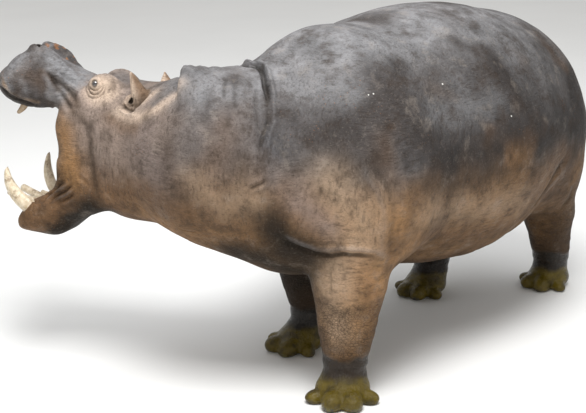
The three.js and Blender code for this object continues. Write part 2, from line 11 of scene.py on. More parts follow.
import bpy
import numpy as np
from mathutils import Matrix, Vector


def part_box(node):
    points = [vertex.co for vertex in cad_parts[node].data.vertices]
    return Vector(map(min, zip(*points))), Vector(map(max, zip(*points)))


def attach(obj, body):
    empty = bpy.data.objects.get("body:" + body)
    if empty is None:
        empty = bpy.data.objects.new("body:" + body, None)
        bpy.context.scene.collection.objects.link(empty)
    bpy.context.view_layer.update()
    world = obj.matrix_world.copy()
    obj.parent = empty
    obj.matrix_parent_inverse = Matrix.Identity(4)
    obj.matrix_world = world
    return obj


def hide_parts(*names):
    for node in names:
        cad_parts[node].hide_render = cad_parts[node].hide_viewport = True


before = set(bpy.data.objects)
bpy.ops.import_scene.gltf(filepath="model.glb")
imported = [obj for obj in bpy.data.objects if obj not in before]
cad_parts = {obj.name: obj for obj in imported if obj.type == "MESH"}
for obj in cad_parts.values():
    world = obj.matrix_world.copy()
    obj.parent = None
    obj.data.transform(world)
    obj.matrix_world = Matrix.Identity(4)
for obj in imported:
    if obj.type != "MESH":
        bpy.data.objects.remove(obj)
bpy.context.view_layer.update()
SIDES = (("left", 1), ("right", -1))  # sign of y in the head's axes


# ---- axes
def turn(yaw=0.0, pitch=0.0, roll=0.0):
    """Yaw about Z, then pitch about its own Y, then roll about its own X, in degrees."""
    y, p, r = (math.radians(a) for a in (yaw, pitch, roll))
    about_z = np.array([[math.cos(y), -math.sin(y), 0], [math.sin(y), math.cos(y), 0], [0, 0, 1]])
    about_y = np.array([[math.cos(p), 0, math.sin(p)], [0, 1, 0], [-math.sin(p), 0, math.cos(p)]])
    about_x = np.array([[1, 0, 0], [0, math.cos(r), -math.sin(r)], [0, math.sin(r), math.cos(r)]])
    return about_z @ about_y @ about_x


class Axes:
    def __init__(self, origin=(0, 0, 0), matrix=None):
        self.origin = np.array(origin, float)
        self.matrix = np.eye(3) if matrix is None else matrix

    def out(self, points):
        """Points in these axes, given in the animal's frame."""
        return np.asarray(points, float) @ self.matrix.T + self.origin

    def into(self, points):
        """Points of the animal's frame, given in these axes."""
        return (np.asarray(points, float) - self.origin) @ self.matrix

    def child(self, origin, yaw=0.0, pitch=0.0, roll=0.0):
        return Axes(self.out(origin), self.matrix @ turn(yaw, pitch, roll))


def unit(vector):
    return np.array(vector, float) / np.linalg.norm(vector)


def facing(axes, at, out, up):
    """Axes at a point, with z along `out` and y as near as can be to `up`."""
    z = unit(out)
    x = unit(np.cross(up, z))
    return Axes(axes.out(at), axes.matrix @ np.stack([x, np.cross(z, x), z], 1))


BODY = Axes()
HEAD = Axes((-1105, 799, 1228), turn(113, -20, 7.5))
UP_HEAD = HEAD.matrix[:, 2]
JAW = HEAD.child((-180, 0, -190), pitch=60)
EYE = (-1, 133, -1)  # in the head's axes
EYE_RADIUS = 20
eye_low, eye_high = (np.array(corner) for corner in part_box("eye_left"))
SHIFT = (eye_low + eye_high) / 2 - HEAD.out(EYE) / 1000


def to_scene(points):
    return np.asarray(points, float) / 1000 + SHIFT


def mirrored(point, side):
    x, y, z = point
    return (x, side * y, z)


# ---- masses
FAR = 2000  # beyond the animal on every side


class Mass:
    """A distance function with the box it fills."""
    def __init__(self, distance, low, high):
        self.distance, self.low, self.high = distance, low, high


def ellipsoid(axes, centre, radii, yaw=0.0, pitch=0.0):
    own = axes.child(centre, yaw, pitch)
    r = np.array(radii, float)

    def distance(points):
        q = own.into(points)
        k0 = np.sqrt(((q / r) ** 2).sum(1))
        k1 = np.sqrt(((q / (r * r)) ** 2).sum(1))
        return k0 * (k0 - 1) / np.maximum(k1, 1e-9)

    half = np.sqrt(((own.matrix * r) ** 2).sum(1))
    return Mass(distance, own.origin - half, own.origin + half)


def round_box(axes, centre, half, rounding):
    own = axes.child(centre)
    h = np.array(half, float)

    def distance(points):
        q = np.abs(own.into(points)) - (h - rounding)
        outside = np.sqrt((np.maximum(q, 0) ** 2).sum(1))
        return outside + np.minimum(q.max(1), 0) - rounding

    reach = (np.abs(own.matrix) * h).sum(1)
    return Mass(distance, own.origin - reach, own.origin + reach)


def column(start, end, r0, r1, side=1.0, up=1.0, reference=(0, 0, 1)):
    """A tapered capsule with an oval section: side and up scale it, up lies along reference."""
    start, end = np.array(start, float), np.array(end, float)
    length = np.linalg.norm(end - start)
    along = (end - start) / length
    rise = np.array(reference, float)
    rise -= along * (rise @ along)
    rise /= np.linalg.norm(rise)
    across = np.cross(rise, along)
    sine = (r0 - r1) / length
    cosine = math.sqrt(max(1 - sine * sine, 1e-9))
    thin = min(side, up, 1.0)

    def distance(points):
        q = points - start
        x = np.hypot(q @ across / side, q @ rise / up)
        y = q @ along
        k = y * cosine - x * sine
        shaft = x * cosine + y * sine - r0
        ends = np.where(k < 0, np.hypot(x, y) - r0, np.hypot(x, y - length) - r1)
        return np.where((k < 0) | (k > cosine * length), ends, shaft) * thin

    wide = max(side, up, 1.0)
    low = np.minimum(start - r0 * wide, end - r1 * wide)
    return Mass(distance, low, np.maximum(start + r0 * wide, end + r1 * wide))


def all_below(height):
    """Everything under a height, to be cut away."""
    return Mass(lambda p: p[:, 2] - height, np.array([-FAR, -FAR, -FAR]), np.array([FAR, FAR, height]))


def melt(a, b, k):
    h = np.maximum(k - np.abs(a - b), 0) / k
    return np.minimum(a, b) - h * h * k / 4


class Flesh:
    """Masses that melt into each other, or are cut away, one after another."""
    REACH = 60  # how far from a mass its distance still counts
    ROOM = 130  # points are taken by cubes this wide

    def __init__(self):
        self.steps = []

    def add(self, mass, k):
        self.steps.append((1, mass, k))

    def cut(self, mass, k):
        self.steps.append((-1, mass, k))

    def together(self, points):
        """The distance at points that lie close together."""
        low, high = points.min(0), points.max(0)
        value = np.full(len(points), 1e3)
        for i in np.flatnonzero(((low < self.high) & (high > self.low)).all(1)):
            sign, mass, k = self.steps[i]
            value = sign * melt(sign * value, mass.distance(points), k)
        return value

    def at(self, points):
        margin = np.array([[k + self.REACH] for _, _, k in self.steps])
        self.low = np.array([mass.low for _, mass, _ in self.steps]) - margin
        self.high = np.array([mass.high for _, mass, _ in self.steps]) + margin
        room = np.floor(points / self.ROOM).astype(np.int64) + 512
        key = (room[:, 0] * 1024 + room[:, 1]) * 1024 + room[:, 2]
        order = np.argsort(key, kind="stable")
        groups = np.split(order, np.flatnonzero(np.diff(key[order])) + 1)
        value = np.empty(len(points))
        with ThreadPoolExecutor(4) as pool:
            for group, part in zip(groups, pool.map(lambda g: self.together(points[g]), groups)):
                value[group] = part
        return value


# ---- the animal's masses
BELLY_FLOOR = 330
# each leg: its joints, the middle of the foot and the way it turns, the radii at hip, knee and ankle,
# how oval the shin is, and the foot's size
LEGS = {
    "fore_left": dict(
        hip=(-740, -285, 800), knee=(-828, -281, 490), ankle=(-838, -274, 140), foot=(-868, -284),
        turn=37, r=(185, 134, 79), section=(1.12, 0.95), size=1.0),
    "fore_right": dict(
        hip=(-640, 285, 780), knee=(-522, 228, 470), ankle=(-480, 200, 130), foot=(-540, 208),
        turn=-8, r=(185, 120, 74), section=(1.15, 0.86), size=0.94),
    "hind_left": dict(
        hip=(740, -245, 620), knee=(826, -246, 400), ankle=(888, -236, 150), foot=(884, -228),
        turn=-5, r=(172, 116, 86), section=(1.0, 1.05), size=0.88),
    "hind_right": dict(
        hip=(660, 245, 620), knee=(548, 214, 380), ankle=(452, 180, 130), foot=(400, 184),
        turn=0, r=(172, 114, 83), section=(1.0, 1.0), size=0.88),
}
TOES = ((-66, 36, 112), (-19, 50, 110), (19, 50, 110), (66, 36, 112))  # angle, half width, reach
TAIL = ((950, 0, 1085), (1052, 0, 950), (1078, 0, 690))
EAR_BASE = (-220, 170, 26)
EAR_TIP = {"left": (-146, 195, 114), "right": (-172, 196, 92)}
EAR_CANAL = (-190, 188, 10)
EAR_RADII = (43, 5)  # at the root and at the tip
EAR_GROOVE = 52  # radius of the crease round the root


def heading(leg, angle=0.0):
    a = math.radians(180 + leg["turn"] + angle)
    return np.array([math.cos(a), math.sin(a), 0])


def add_trunk(flesh):
    flesh.add(ellipsoid(BODY, (106, 0, 889), (775, 572, 590)), 120)  # belly
    flesh.cut(all_below(BELLY_FLOOR), 120)
    flesh.add(ellipsoid(BODY, (-253, 0, 969), (605, 511, 482)), 150)  # ribs
    flesh.add(ellipsoid(BODY, (612, 0, 921), (398, 466, 430)), 150)  # rump
    flesh.add(ellipsoid(BODY, (-614, 0, 1097), (320, 367, 384)), 150)  # withers
    flesh.add(ellipsoid(BODY, (-792, 28, 822), (350, 335, 354)), 150)  # brisket


NECK_MIDDLE = (-1010, 238, 970)
NAPE = HEAD.out((-262, 0, -196))


def add_neck(flesh):
    flesh.add(column((-677, 47, 967), NECK_MIDDLE, 340, 336, 0.88), 150)
    flesh.add(column(NECK_MIDDLE, NAPE, 334, 270, 0.88), 120)


def add_leg(flesh, name, leg):
    side = -1 if name.endswith("left") else 1
    if name.startswith("fore"):
        top = ellipsoid(BODY, (-608 + 25 * side, side * 293, 870), (274, 202, 361), pitch=-8)
    else:
        top = ellipsoid(BODY, (672, side * 232, 746), (269, 214, 300), pitch=8)
    flesh.add(top, 120)
    wide, deep = leg["section"]
    hip, knee, ankle = leg["r"]
    flesh.add(column(leg["hip"], leg["knee"], hip, knee), 90)
    flesh.add(column(leg["knee"], leg["ankle"], knee, ankle, wide, deep, heading(leg)), 40)


def add_foot(flesh, leg):
    s = leg["size"]
    x, y = leg["foot"]
    ax, ay, _ = leg["ankle"]
    flesh.add(column(((ax + x) / 2, (ay + y) / 2, 62), (ax, ay, 120), 92 * s, 76 * s), 40)
    flesh.add(ellipsoid(BODY, (x, y, 40), (112 * s, 112 * s, 58 * s), 180 + leg["turn"]), 40)
    for angle, r, reach in TOES:
        at = np.array([x, y, 0]) + s * reach * heading(leg, angle)
        at[2] = s * r * 0.62
        flesh.add(ellipsoid(BODY, at, (s * (r + 16), s * r, s * r * 0.9), 180 + leg["turn"] + angle), 14)


def eye_axes(side):
    """z looks out of the eye, y runs up along its opening."""
    return facing(HEAD, mirrored(EYE, side), (-0.03, side * 0.95, 0.27), (0.38, 0, 0.92))


def ear_line(hand, side):
    """The middle of an ear, from its root to its tip."""
    return [HEAD.out(mirrored(p, side)) for p in (EAR_BASE, EAR_TIP[hand])]


def add_ellipsoids(flesh, axes, rows, side=1):
    for centre, radii, k in rows:
        flesh.add(ellipsoid(axes, mirrored(centre, side), radii), k)


# centre, radii and how softly each melts in
SKULL = (
    ((-190, 0, -120), (190, 185, 160), 80),  # cranium
    ((-110, 0, -45), (100, 150, 80), 50),  # crown
    ((70, 0, -90), (260, 118, 95), 60))  # bridge of the nose
FACE_SIDE = (
    ((-42, 104, -9), (80, 50, 66), 28),  # brow
    ((266, 76, 4), (72, 50, 40), 35),  # nostril mound
    ((304, 112, -140), (106, 86, 70), 45),  # upper lip
    ((-70, 125, -130), (170, 68, 95), 60),  # cheek bone
    ((-10, 125, -215), (112, 62, 90), 60),  # cheek, upper
    ((-92, 125, -335), (138, 70, 165), 60))  # cheek, lower
THROAT = (((-270, 0, -335), (190, 200, 150), 90),)
CHIN = (((458, 0, -38), (132, 178, 74), 50),)
JAW_SIDE = (
    ((506, 110, -12), (82, 72, 48), 30),  # lower lip
    ((218, 95, -66), (160, 100, 94), 60))  # angle of the jaw


def add_head(flesh):
    add_ellipsoids(flesh, HEAD, SKULL)
    flesh.add(round_box(HEAD, (260, 0, -96), (130, 178, 102), 88), 60)  # muzzle
    for _, s in SIDES:
        add_ellipsoids(flesh, HEAD, FACE_SIDE, s)
    add_ellipsoids(flesh, HEAD, THROAT)


def add_jaw(flesh):
    flesh.add(round_box(JAW, (315, 0, -60), (205, 135, 86), 72), 60)  # body of the jaw
    add_ellipsoids(flesh, JAW, CHIN)
    for _, s in SIDES:
        add_ellipsoids(flesh, JAW, JAW_SIDE, s)


MOUTH = (  # what is cut away, and how softly
    (column(HEAD.out((-110, 0, -285)), HEAD.out((190, 0, -395)), 62, 205, 0.62, 0.95, UP_HEAD), 30),
    (ellipsoid(HEAD, (215, 0, -205), (120, 100, 42)), 20),
    (ellipsoid(JAW, (380, 0, 32), (130, 98, 46)), 20),
)


def add_face(flesh):
    """Lids, nostrils, ears and gums: what the plain solids leave out."""
    for hand, s in SIDES:
        eye = eye_axes(s)
        flesh.add(ellipsoid(eye, (0, 3, -4), (28, 31, 27)), 10)  # lids
        flesh.cut(ellipsoid(eye, (0, 0, 20), (9.5, 13.5, 17)), 2.5)
        flesh.add(ellipsoid(HEAD, (304, s * 71, 20), (38, 25, 21)), 16)  # nostril, and its slit
        slit = facing(HEAD, (308, s * 77, 37), (0.15, s * 0.6, 0.78), (-0.82, s * 0.25, -0.5))
        flesh.cut(ellipsoid(slit, (0, 0, 0), (6, 19, 17)), 4)
        flesh.add(ellipsoid(HEAD, mirrored((-206, 160, -8), s), (62, 40, 44)), 22)  # root of the ear
        flesh.add(column(*ear_line(hand, s), *EAR_RADII), 5)
        flesh.cut(ellipsoid(HEAD, mirrored(EAR_CANAL, s), (11, 22, 14)), 4)
        for x, y in ((262, 130), (340, 38), (324, 84)):
            flesh.add(ellipsoid(HEAD, (x - 8, s * y, -184), (24, 22, 20)), 14)  # gum at each tooth
        for x, y, r in ((474, 146, 44), (448, 44, 28), (470, 94, 20)):
            flesh.add(ellipsoid(JAW, (x, s * y, -4), (r, r, r * 0.8)), 14)


def whole_animal():
    flesh = Flesh()
    add_trunk(flesh)
    add_neck(flesh)
    for name, leg in LEGS.items():
        add_leg(flesh, name, leg)
    add_head(flesh)
    add_jaw(flesh)
    for mass, k in MOUTH:
        flesh.cut(mass, k)
    add_face(flesh)
    flesh.add(column(TAIL[0], TAIL[1], 66, 42, 0.85), 60)
    flesh.add(column(TAIL[1], TAIL[2], 42, 25, 0.7, 1.0, (1, 0, 0)), 20)
    for leg in LEGS.values():
        add_foot(flesh, leg)
    flesh.cut(all_below(0), 6)
    return flesh


# ---- field to mesh
BLOCK = 8  # cells along the side of one block of the grid
BATCH = 700  # blocks worked out in one go
WIDENING = 0.06  # how much wider a cell is for each millimetre outside the fine stretch


def graded(low, high, fine_low, fine_high, fine, coarse):
    """Grid lines from low to high: `fine` apart in the fine stretch, wider further out."""
    lines = [low]
    while lines[-1] < high or len(lines) % BLOCK != 1:
        outside = max(fine_low - lines[-1], lines[-1] - fine_high, 0)
        lines.append(lines[-1] + min(fine + WIDENING * outside, coarse))
    return np.array(lines)


def sampled(flesh, grid):
    """The field on the grid, worked out only in the blocks that the surface may cross."""
    values = np.ones([len(g) for g in grid], np.float32)
    starts = [np.arange(0, len(g) - 1, BLOCK) for g in grid]
    cells = np.stack(np.meshgrid(*starts, indexing="ij"), -1).reshape(-1, 3)
    low = np.stack([grid[a][cells[:, a]] for a in range(3)], 1)
    high = np.stack([grid[a][cells[:, a] + BLOCK] for a in range(3)], 1)
    middle = flesh.at((low + high) / 2)
    reach = np.linalg.norm(high - low, axis=1) / 2
    near = np.abs(middle) < reach * 1.6 + 6
    for i, j, k in cells[~near & (middle < 0)]:
        values[i:i + BLOCK + 1, j:j + BLOCK + 1, k:k + BLOCK + 1] = -1
    steps = np.arange(BLOCK + 1)
    local = np.stack(np.meshgrid(steps, steps, steps, indexing="ij"), -1).reshape(-1, 3)
    for part in np.array_split(cells[near], max(1, near.sum() // BATCH)):
        at = (part[:, None] + local).reshape(-1, 3)
        points = np.stack([grid[a][at[:, a]] for a in range(3)], 1)
        values[at[:, 0], at[:, 1], at[:, 2]] = flesh.at(points)
    return values


CORNERS = np.array([(i, j, k) for i in (0, 1) for j in (0, 1) for k in (0, 1)])
EDGES = [(a, b) for a in range(8) for b in range(a + 1, 8)
         if abs(CORNERS[a] - CORNERS[b]).sum() == 1]


def surface_nets(grid, values):
    """One vertex for each cell that the surface crosses, one quad for each crossed edge."""
    inside = values < 0
    shape = np.array(values.shape) - 1
    total = np.zeros(shape, np.uint8)
    for i, j, k in CORNERS:
        total += inside[i:i + shape[0], j:j + shape[1], k:k + shape[2]]
    cells = np.argwhere((total > 0) & (total < 8))
    at = [values[tuple((cells + c).T)] for c in CORNERS]
    place = np.zeros((len(cells), 3))
    crossings = np.zeros(len(cells))
    for a, b in EDGES:
        crossed = (at[a] < 0) != (at[b] < 0)
        t = np.where(crossed, at[a] / np.where(crossed, at[a] - at[b], 1), 0)[:, None]
        place += np.where(crossed[:, None], CORNERS[a] * (1 - t) + CORNERS[b] * t, 0)
        crossings += crossed
    place /= crossings[:, None]
    points = np.stack([
        grid[a][cells[:, a]] + place[:, a] * (grid[a][cells[:, a] + 1] - grid[a][cells[:, a]])
        for a in range(3)], 1)
    key = np.ravel_multi_index(tuple(cells.T), tuple(shape))
    quads = []
    for axis in range(3):
        u, v = (axis + 1) % 3, (axis + 2) % 3
        ahead = np.diff(inside.astype(np.int8), axis=axis)
        crossed = np.argwhere(ahead != 0)
        crossed = crossed[(crossed[:, u] > 0) & (crossed[:, v] > 0)]
        crossed = crossed[(crossed[:, u] < shape[u]) & (crossed[:, v] < shape[v])]
        leaving = ahead[tuple(crossed.T)] < 0
        ring = []
        for du, dv in ((1, 1), (0, 1), (0, 0), (1, 0)):
            beside = crossed.copy()
            beside[:, u] -= du
            beside[:, v] -= dv
            ring.append(np.searchsorted(key, np.ravel_multi_index(tuple(beside.T), tuple(shape))))
        ring = np.stack(ring, 1)
        quads.append(np.where(leaving[:, None], ring, ring[:, ::-1]))
    return points, np.concatenate(quads)


def slope(flesh, points, step=1.2):
    """The distance at each point, and the way it grows."""
    value = flesh.at(points)
    return value, np.stack([(flesh.at(points + step * way) - value) / step for way in np.eye(3)], 1)


def evened(points, quads, share=0.5):
    """Each vertex drawn towards the mean of its neighbours, to even the quads."""
    total = np.zeros_like(points)
    count = np.zeros(len(points))
    for a, b in ((0, 1), (1, 2), (2, 3), (3, 0)):
        for one, other in ((quads[:, a], quads[:, b]), (quads[:, b], quads[:, a])):
            for axis in range(3):
                total[:, axis] += np.bincount(one, points[other, axis], len(points))
            count += np.bincount(one, minlength=len(points))
    return points + share * (total / np.maximum(count, 1)[:, None] - points)


def drawn(flesh, points, passes=2, limit=12.0):
    """The points moved onto the surface, and the way out of it at each."""
    for _ in range(passes):
        value, g = slope(flesh, points)
        step = -value[:, None] * g / np.maximum((g * g).sum(1), 0.1)[:, None]
        size = np.linalg.norm(step, axis=1, keepdims=True)
        points = points + step * np.minimum(1, limit / np.maximum(size, 1e-9))
    return points, g


# ---- noise and masks
def smooth(low, high, x):
    t = np.clip((x - low) / (high - low), 0, 1)
    return t * t * (3 - 2 * t)


def bell(x, at, width):
    """1 where x is `at`, falling away on both sides."""
    return np.exp(-((x - at) / width) ** 2)


def noise(points, size, seed=0):
    """Smooth noise from -1 to 1 with features about `size` across."""
    q = points / size
    cell = np.floor(q).astype(np.int64)
    f = q - cell
    f = f * f * (3 - 2 * f)
    total = np.zeros(len(points))
    for corner in CORNERS:
        c = cell + corner
        h = (c[:, 0] * 73856093) ^ (c[:, 1] * 19349663) ^ (c[:, 2] * 83492791) ^ (seed * 2654435)
        h = ((h ^ (h >> 13)) * 1274126177) & 0x7FFFFFFF
        h = ((h ^ (h >> 15)) * 668265263) & 0x7FFFFFFF
        weight = np.where(corner, f, 1 - f).prod(1)
        total += weight * (h / 0x3FFFFFFF - 1)
    return total


def rough_noise(points, size, seed=0, octaves=3):
    return sum(noise(points, size / 2 ** o, seed + o) / 2 ** o for o in range(octaves))


def line_distance(points, line):
    """Distance to a line through a few points, the place along it (0 to 1) and the offset."""
    line = np.array(line, float)
    lengths = np.linalg.norm(np.diff(line, axis=0), axis=1)
    best = np.full(len(points), 1e9)
    where = np.zeros(len(points))
    offset = np.zeros((len(points), 3))
    done = 0.0
    for a, b, length in zip(line[:-1], line[1:], lengths):
        t = np.clip((points - a) @ (b - a) / length ** 2, 0, 1)
        away = points - (a + t[:, None] * (b - a))
        d = np.linalg.norm(away, axis=1)
        closer = d < best
        best = np.where(closer, d, best)
        where = np.where(closer, (done + t * length) / lengths.sum(), where)
        offset[closer] = away[closer]
        done += length
    return best, where, offset


def box_round(points, line, reach):
    """Which points lie in the box round a line, `reach` wider than it."""
    return np.nonzero(((points > line.min(0) - reach) & (points < line.max(0) + reach)).all(1))[0]


def stroke(points, line, width):
    """1 on the line, falling to 0 about `width` away."""
    mask = np.zeros(len(points))
    chosen = box_round(points, line, 2.5 * width)
    if len(chosen):
        mask[chosen] = bell(line_distance(points[chosen], line)[0], 0, width)
    return mask


def patch(points, centre, radii, soft=0.5):
    """1 inside an ellipsoid and 0 outside it, with an edge `soft` of its radius wide."""
    q = points - np.array(centre, float)
    d = np.sqrt(((q / np.array(radii, float)) ** 2).sum(1))
    return 1 - smooth(1 - soft, 1 + soft, d)


def placed(on_body, on_head):
    """Each row with its line in the animal's frame; the head's rows lie on both sides."""
    for line, *rest in on_body:
        yield (BODY.out(line), *rest)
    for line, *rest in on_head:
        for side in (1, -1):
            yield (HEAD.out([mirrored(p, side) for p in line]), *rest)


# ---- folds of the skin
NECK_SIDE = np.array([0.589, -0.808, 0])  # from the neck towards the shoulder
# where a roll of fat begins behind the ears, and the way it lies from there
NAPE_ROLL = ((-980, 455, 1290), (-1086, 375, 1305), (-1148, 318, 1299), (-1190, 291, 1278),
             (-1230, 265, 1248), (-1255, 253, 1222))
ROLL_WAY = np.array([0.556, -0.822, 0.077])
BODY_FOLDS = (  # line, width, depth, height of the lip beside it, its way
    (((-850, 300, 1335), (-907, 182, 1342), (-898, 153, 1345), (-905, 120, 1342), (-937, 72, 1326),
      (-980, 31, 1298), (-1004, -4, 1267), (-1025, -32, 1235)), 11, 26, 20, NECK_SIDE),
    (((-937, 72, 1326), (-1004, -4, 1267), (-1066, -56, 1185), (-1103, -66, 1134),
      (-1135, -72, 1081), (-1150, -90, 1006)), 11, 9, 6, NECK_SIDE),
    (((-954, 94, 1350), (-1037, 23, 1293), (-1084, -11, 1240), (-1113, -48, 1172), (-1133, -78, 1090)),
     9, 7, 3, -NECK_SIDE),
    (((-1060, 200, 1352), (-1077, 152, 1349), (-1136, 114, 1311), (-1170, 80, 1250)), 13, 9, 4, -NECK_SIDE),
    (((-1010, 170, 1362), (-1093, 91, 1320), (-1135, 51, 1267), (-1160, 20, 1200)), 11, 8, 3, NECK_SIDE),
    (((-1000, 120, 1350), (-1040, 50, 1319), (-1080, 20, 1270)), 8, 6, 0, None),
    (((-1191, -57, 928), (-1173, -84, 946), (-1148, -98, 953), (-1128, -114, 971)), 9, 8, 4, None),
    (((-1100, -110, 735), (-1007, -184, 668), (-966, -220, 644), (-949, -282, 642), (-937, -332, 654),
      (-900, -385, 658), (-864, -424, 645), (-818, -440, 600)), 12, 12, 11, np.array([0, 0, 1])),
    (((-830, -395, 1080), (-838, -423, 989), (-812, -453, 935), (-805, -474, 856), (-797, -478, 786),
      (-793, -465, 713), (-784, -447, 637), (-770, -430, 560)), 22, 7, 5, np.array([-1, 0, 0])),
    (((-946, -296, 630), (-954, -287, 564), (-968, -294, 514), (-960, -300, 440)), 9, 7, 0, None),
    (((560, -505, 800), (420, -500, 690), (330, -470, 600), (250, -400, 510), (220, -300, 450)),
     30, 12, 6, np.array([1, 0, 0])),
    (((700, -440, 610), (740, -400, 520), (700, -380, 430)), 18, 7, 0, None),
)
HEAD_FOLDS = (  # the same, in the axes of the head
    (((230, 165, -20), (164, 150, -44), (119, 130, -64), (76, 146, -82), (24, 178, -104)), 13, 15, 6, None),
    (((183, 163, -44), (138, 142, -84), (80, 156, -114), (28, 186, -135)), 12, 12, 6, None),
    (((119, 126, -60), (78, 128, -66), (43, 155, -76)), 10, 9, 4, None),
    (((180, 130, -10), (120, 112, -28), (70, 120, -40)), 14, 8, 3, None),
    (((400, 110, -142), (355, 182, -172), (301, 188, -182), (240, 176, -184), (185, 144, -184)),
     8, 7, 6, UP_HEAD),
    (((3, 192, -140), (-49, 199, -167), (-86, 198, -215), (-107, 200, -269), (-133, 207, -320),
      (-172, 208, -380), (-208, 190, -425)), 21, 8, 3, None),
    (((49, 156, -559), (28, 130, -522), (-8, 154, -461), (-44, 188, -414)), 9, 10, 5, None),
    (((18, 156, -551), (-10, 150, -507), (-51, 182, -458), (-85, 203, -400)), 8, 9, 5, None),
    (((-35, 166, -520), (-68, 184, -482), (-100, 196, -446)), 8, 8, 4, None),
    (((20, 160, -585), (60, 150, -575), (75, 140, -560)), 7, 6, 3, None),
    (((-74, 198, -374), (-119, 208, -378), (-149, 207, -390)), 9, 5, 2, None),
    (((-150, 185, -25), (-178, 205, -24), (-205, 225, -18), (-222, 232, -4)), 10, 13, 6, None),
    (((-260, 245, 110), (-300, 255, 132), (-345, 250, 180)), 9, 5, 2, None),
    (((-290, 225, 120), (-325, 238, 160), (-360, 235, 200)), 9, 5, 2, None),
)
RIGHT_NECK_FOLDS = ((-600, 22, 12), (-690, 18, 14), (-790, 16, 12))  # x at the skin, width, depth


def fold_depth(points):
    """How far the skin moves out (or in, below zero) for every fold."""
    move = np.zeros(len(points))
    for line, width, depth, lip, way in placed(BODY_FOLDS, HEAD_FOLDS):
        chosen = box_round(points, line, 4 * width)
        if not len(chosen):
            continue
        close = points[chosen]
        on_skin = [close[np.argmin(((close - p) ** 2).sum(1))] for p in line]
        d, t, away = line_distance(close, on_skin)
        fade = smooth(0, 0.2, t) * smooth(0, 0.25, 1 - t)
        beside = 1.0 if way is None else smooth(-0.2, 0.6, away @ way / np.maximum(d, 1))
        raised = lip * bell(d, 2 * width, width) * beside
        move[chosen] += fade * (raised - depth * bell(d, 0, width))
    for x, width, depth in RIGHT_NECK_FOLDS:
        s = points[:, 0] + 0.35 * (points[:, 1] - 400) - x + 12 * noise(points, 170, 5)
        side = smooth(60, 180, points[:, 1]) * smooth(520, 700, points[:, 2])
        side = side * smooth(1420, 1250, points[:, 2])
        ahead = smooth(-500, -620, points[:, 0] - 0.3 * points[:, 1])
        move -= depth * bell(s, 0, width) * side * ahead
    return move


LID_CRESCENTS = ((30, 27, 4.0, 6.5), (39, 43, 4.4, 8.0), (47, 60, 5.0, 6.0))  # half size, width, depth
EAR_RINGS = ((14, 4.0), (20, -4.0), (27, 7.0), (34, -3.0), (42, 5.0), (56, 3.0))  # radius, depth


def face_depth(points):
    """The fine folds round the eyes, the ears, the palate and the lips."""
    move = np.zeros(len(points))
    at_head = HEAD.into(points)
    close = np.nonzero((np.abs(at_head) < (480, 330, 760)).all(1))[0]
    q = at_head[close]
    out = np.zeros(len(q))
    wobble = 4.0 * noise(points[close], 42, 11)
    for _, s in SIDES:
        eye = eye_axes(s).into(points[close])
        radius = np.hypot(eye[:, 0], eye[:, 1] / 1.3) + 0.5 * wobble
        outside = (np.abs(eye[:, 2]) < 60) & (q[:, 1] * s > 60)
        below = smooth(12, -12, eye[:, 1] + 0.3 * eye[:, 0])
        out += (4.5 - 3 * below) * outside * bell(radius, 18, 4.2)
        out -= outside * (1 - below) * (2.5 * bell(radius, 28, 4) + 1.5 * bell(radius, 44, 5))
        for wide, down, width, depth in LID_CRESCENTS:
            crescent = (np.hypot(eye[:, 0] / wide, eye[:, 1] / down) - 1) * down + wobble
            out -= outside * below * (depth * bell(crescent, 0, width) - 3.0 * bell(crescent, -8, 4))
        from_ear = q * (1, s, 1) - EAR_CANAL
        radius = np.linalg.norm(from_ear, axis=1)
        front = smooth(30, 0, from_ear[:, 2] - 0.2 * from_ear[:, 0]) * (q[:, 1] * s > 120)
        for ring, depth in EAR_RINGS:
            out -= depth * bell(radius, ring, 4.2) * front
    for hand, s in SIDES:
        d, t, _ = line_distance(points[close], ear_line(hand, s))
        out -= 6.0 * bell(d, EAR_GROOVE, 6) * smooth(0.3, 0.05, t) * (q[:, 1] * s > 60)
    roof = smooth(105, 80, np.abs(q[:, 1])) * smooth(-150, -140, q[:, 0]) * smooth(230, 215, q[:, 0])
    palate = roof * smooth(-215, -205, q[:, 2]) * smooth(-110, -125, q[:, 2])
    out += 3.5 * palate * np.sin(q[:, 0] / 26 * 2 * np.pi + 0.02 * np.abs(q[:, 1]))
    lips = smooth(170, 230, q[:, 0]) * bell(q[:, 2], -168, 7) * (np.abs(q[:, 1]) > 60)
    out -= 3.0 * lips
    move[close] = out
    return move


def wrinkle_depth(points):
    """Soft lumps everywhere, rings round the legs, the roll behind the ears, streaks on the neck."""
    move = 2.6 * noise(points, 150, 2) + 1.6 * noise(points, 62, 3)
    low = smooth(560, 420, points[:, 2]) * smooth(60, 130, points[:, 2])
    rings = noise(points * (1, 1, 3.2), 80, 7)
    move += low * (1.6 * rings - 2.2 * bell(rings, 0, 0.16) * 0.6)
    ankle = bell(points[:, 2], 128, 16) + 0.7 * bell(points[:, 2], 176, 12)
    move -= 4.0 * ankle * smooth(400, 250, points[:, 2])
    chosen = np.nonzero((points[:, 0] < -700) & (points[:, 2] > 1050))[0]
    d, t, away = line_distance(points[chosen], NAPE_ROLL)
    behind = away @ ROLL_WAY + 5 * noise(points[chosen], 60, 13)
    roll = (36 * smooth(-9, 9, behind) * bell(d, 0, 85)
            - 9 * np.exp(-((behind + 18) / 12) ** 2 - (d / 70) ** 2))
    for at in (48, 98, 150):
        roll -= 7 * np.exp(-((behind - at) / 11) ** 2 - (d / 190) ** 2)
    move[chosen] += roll * smooth(0, 0.3, 1 - t)
    neck = smooth(-760, -900, points[:, 0]) * smooth(560, 700, points[:, 2])
    streaks = noise(points * (1, 1, 0.33), 46, 9)
    move -= 2.4 * neck * bell(streaks, 0, 0.12)
    return move


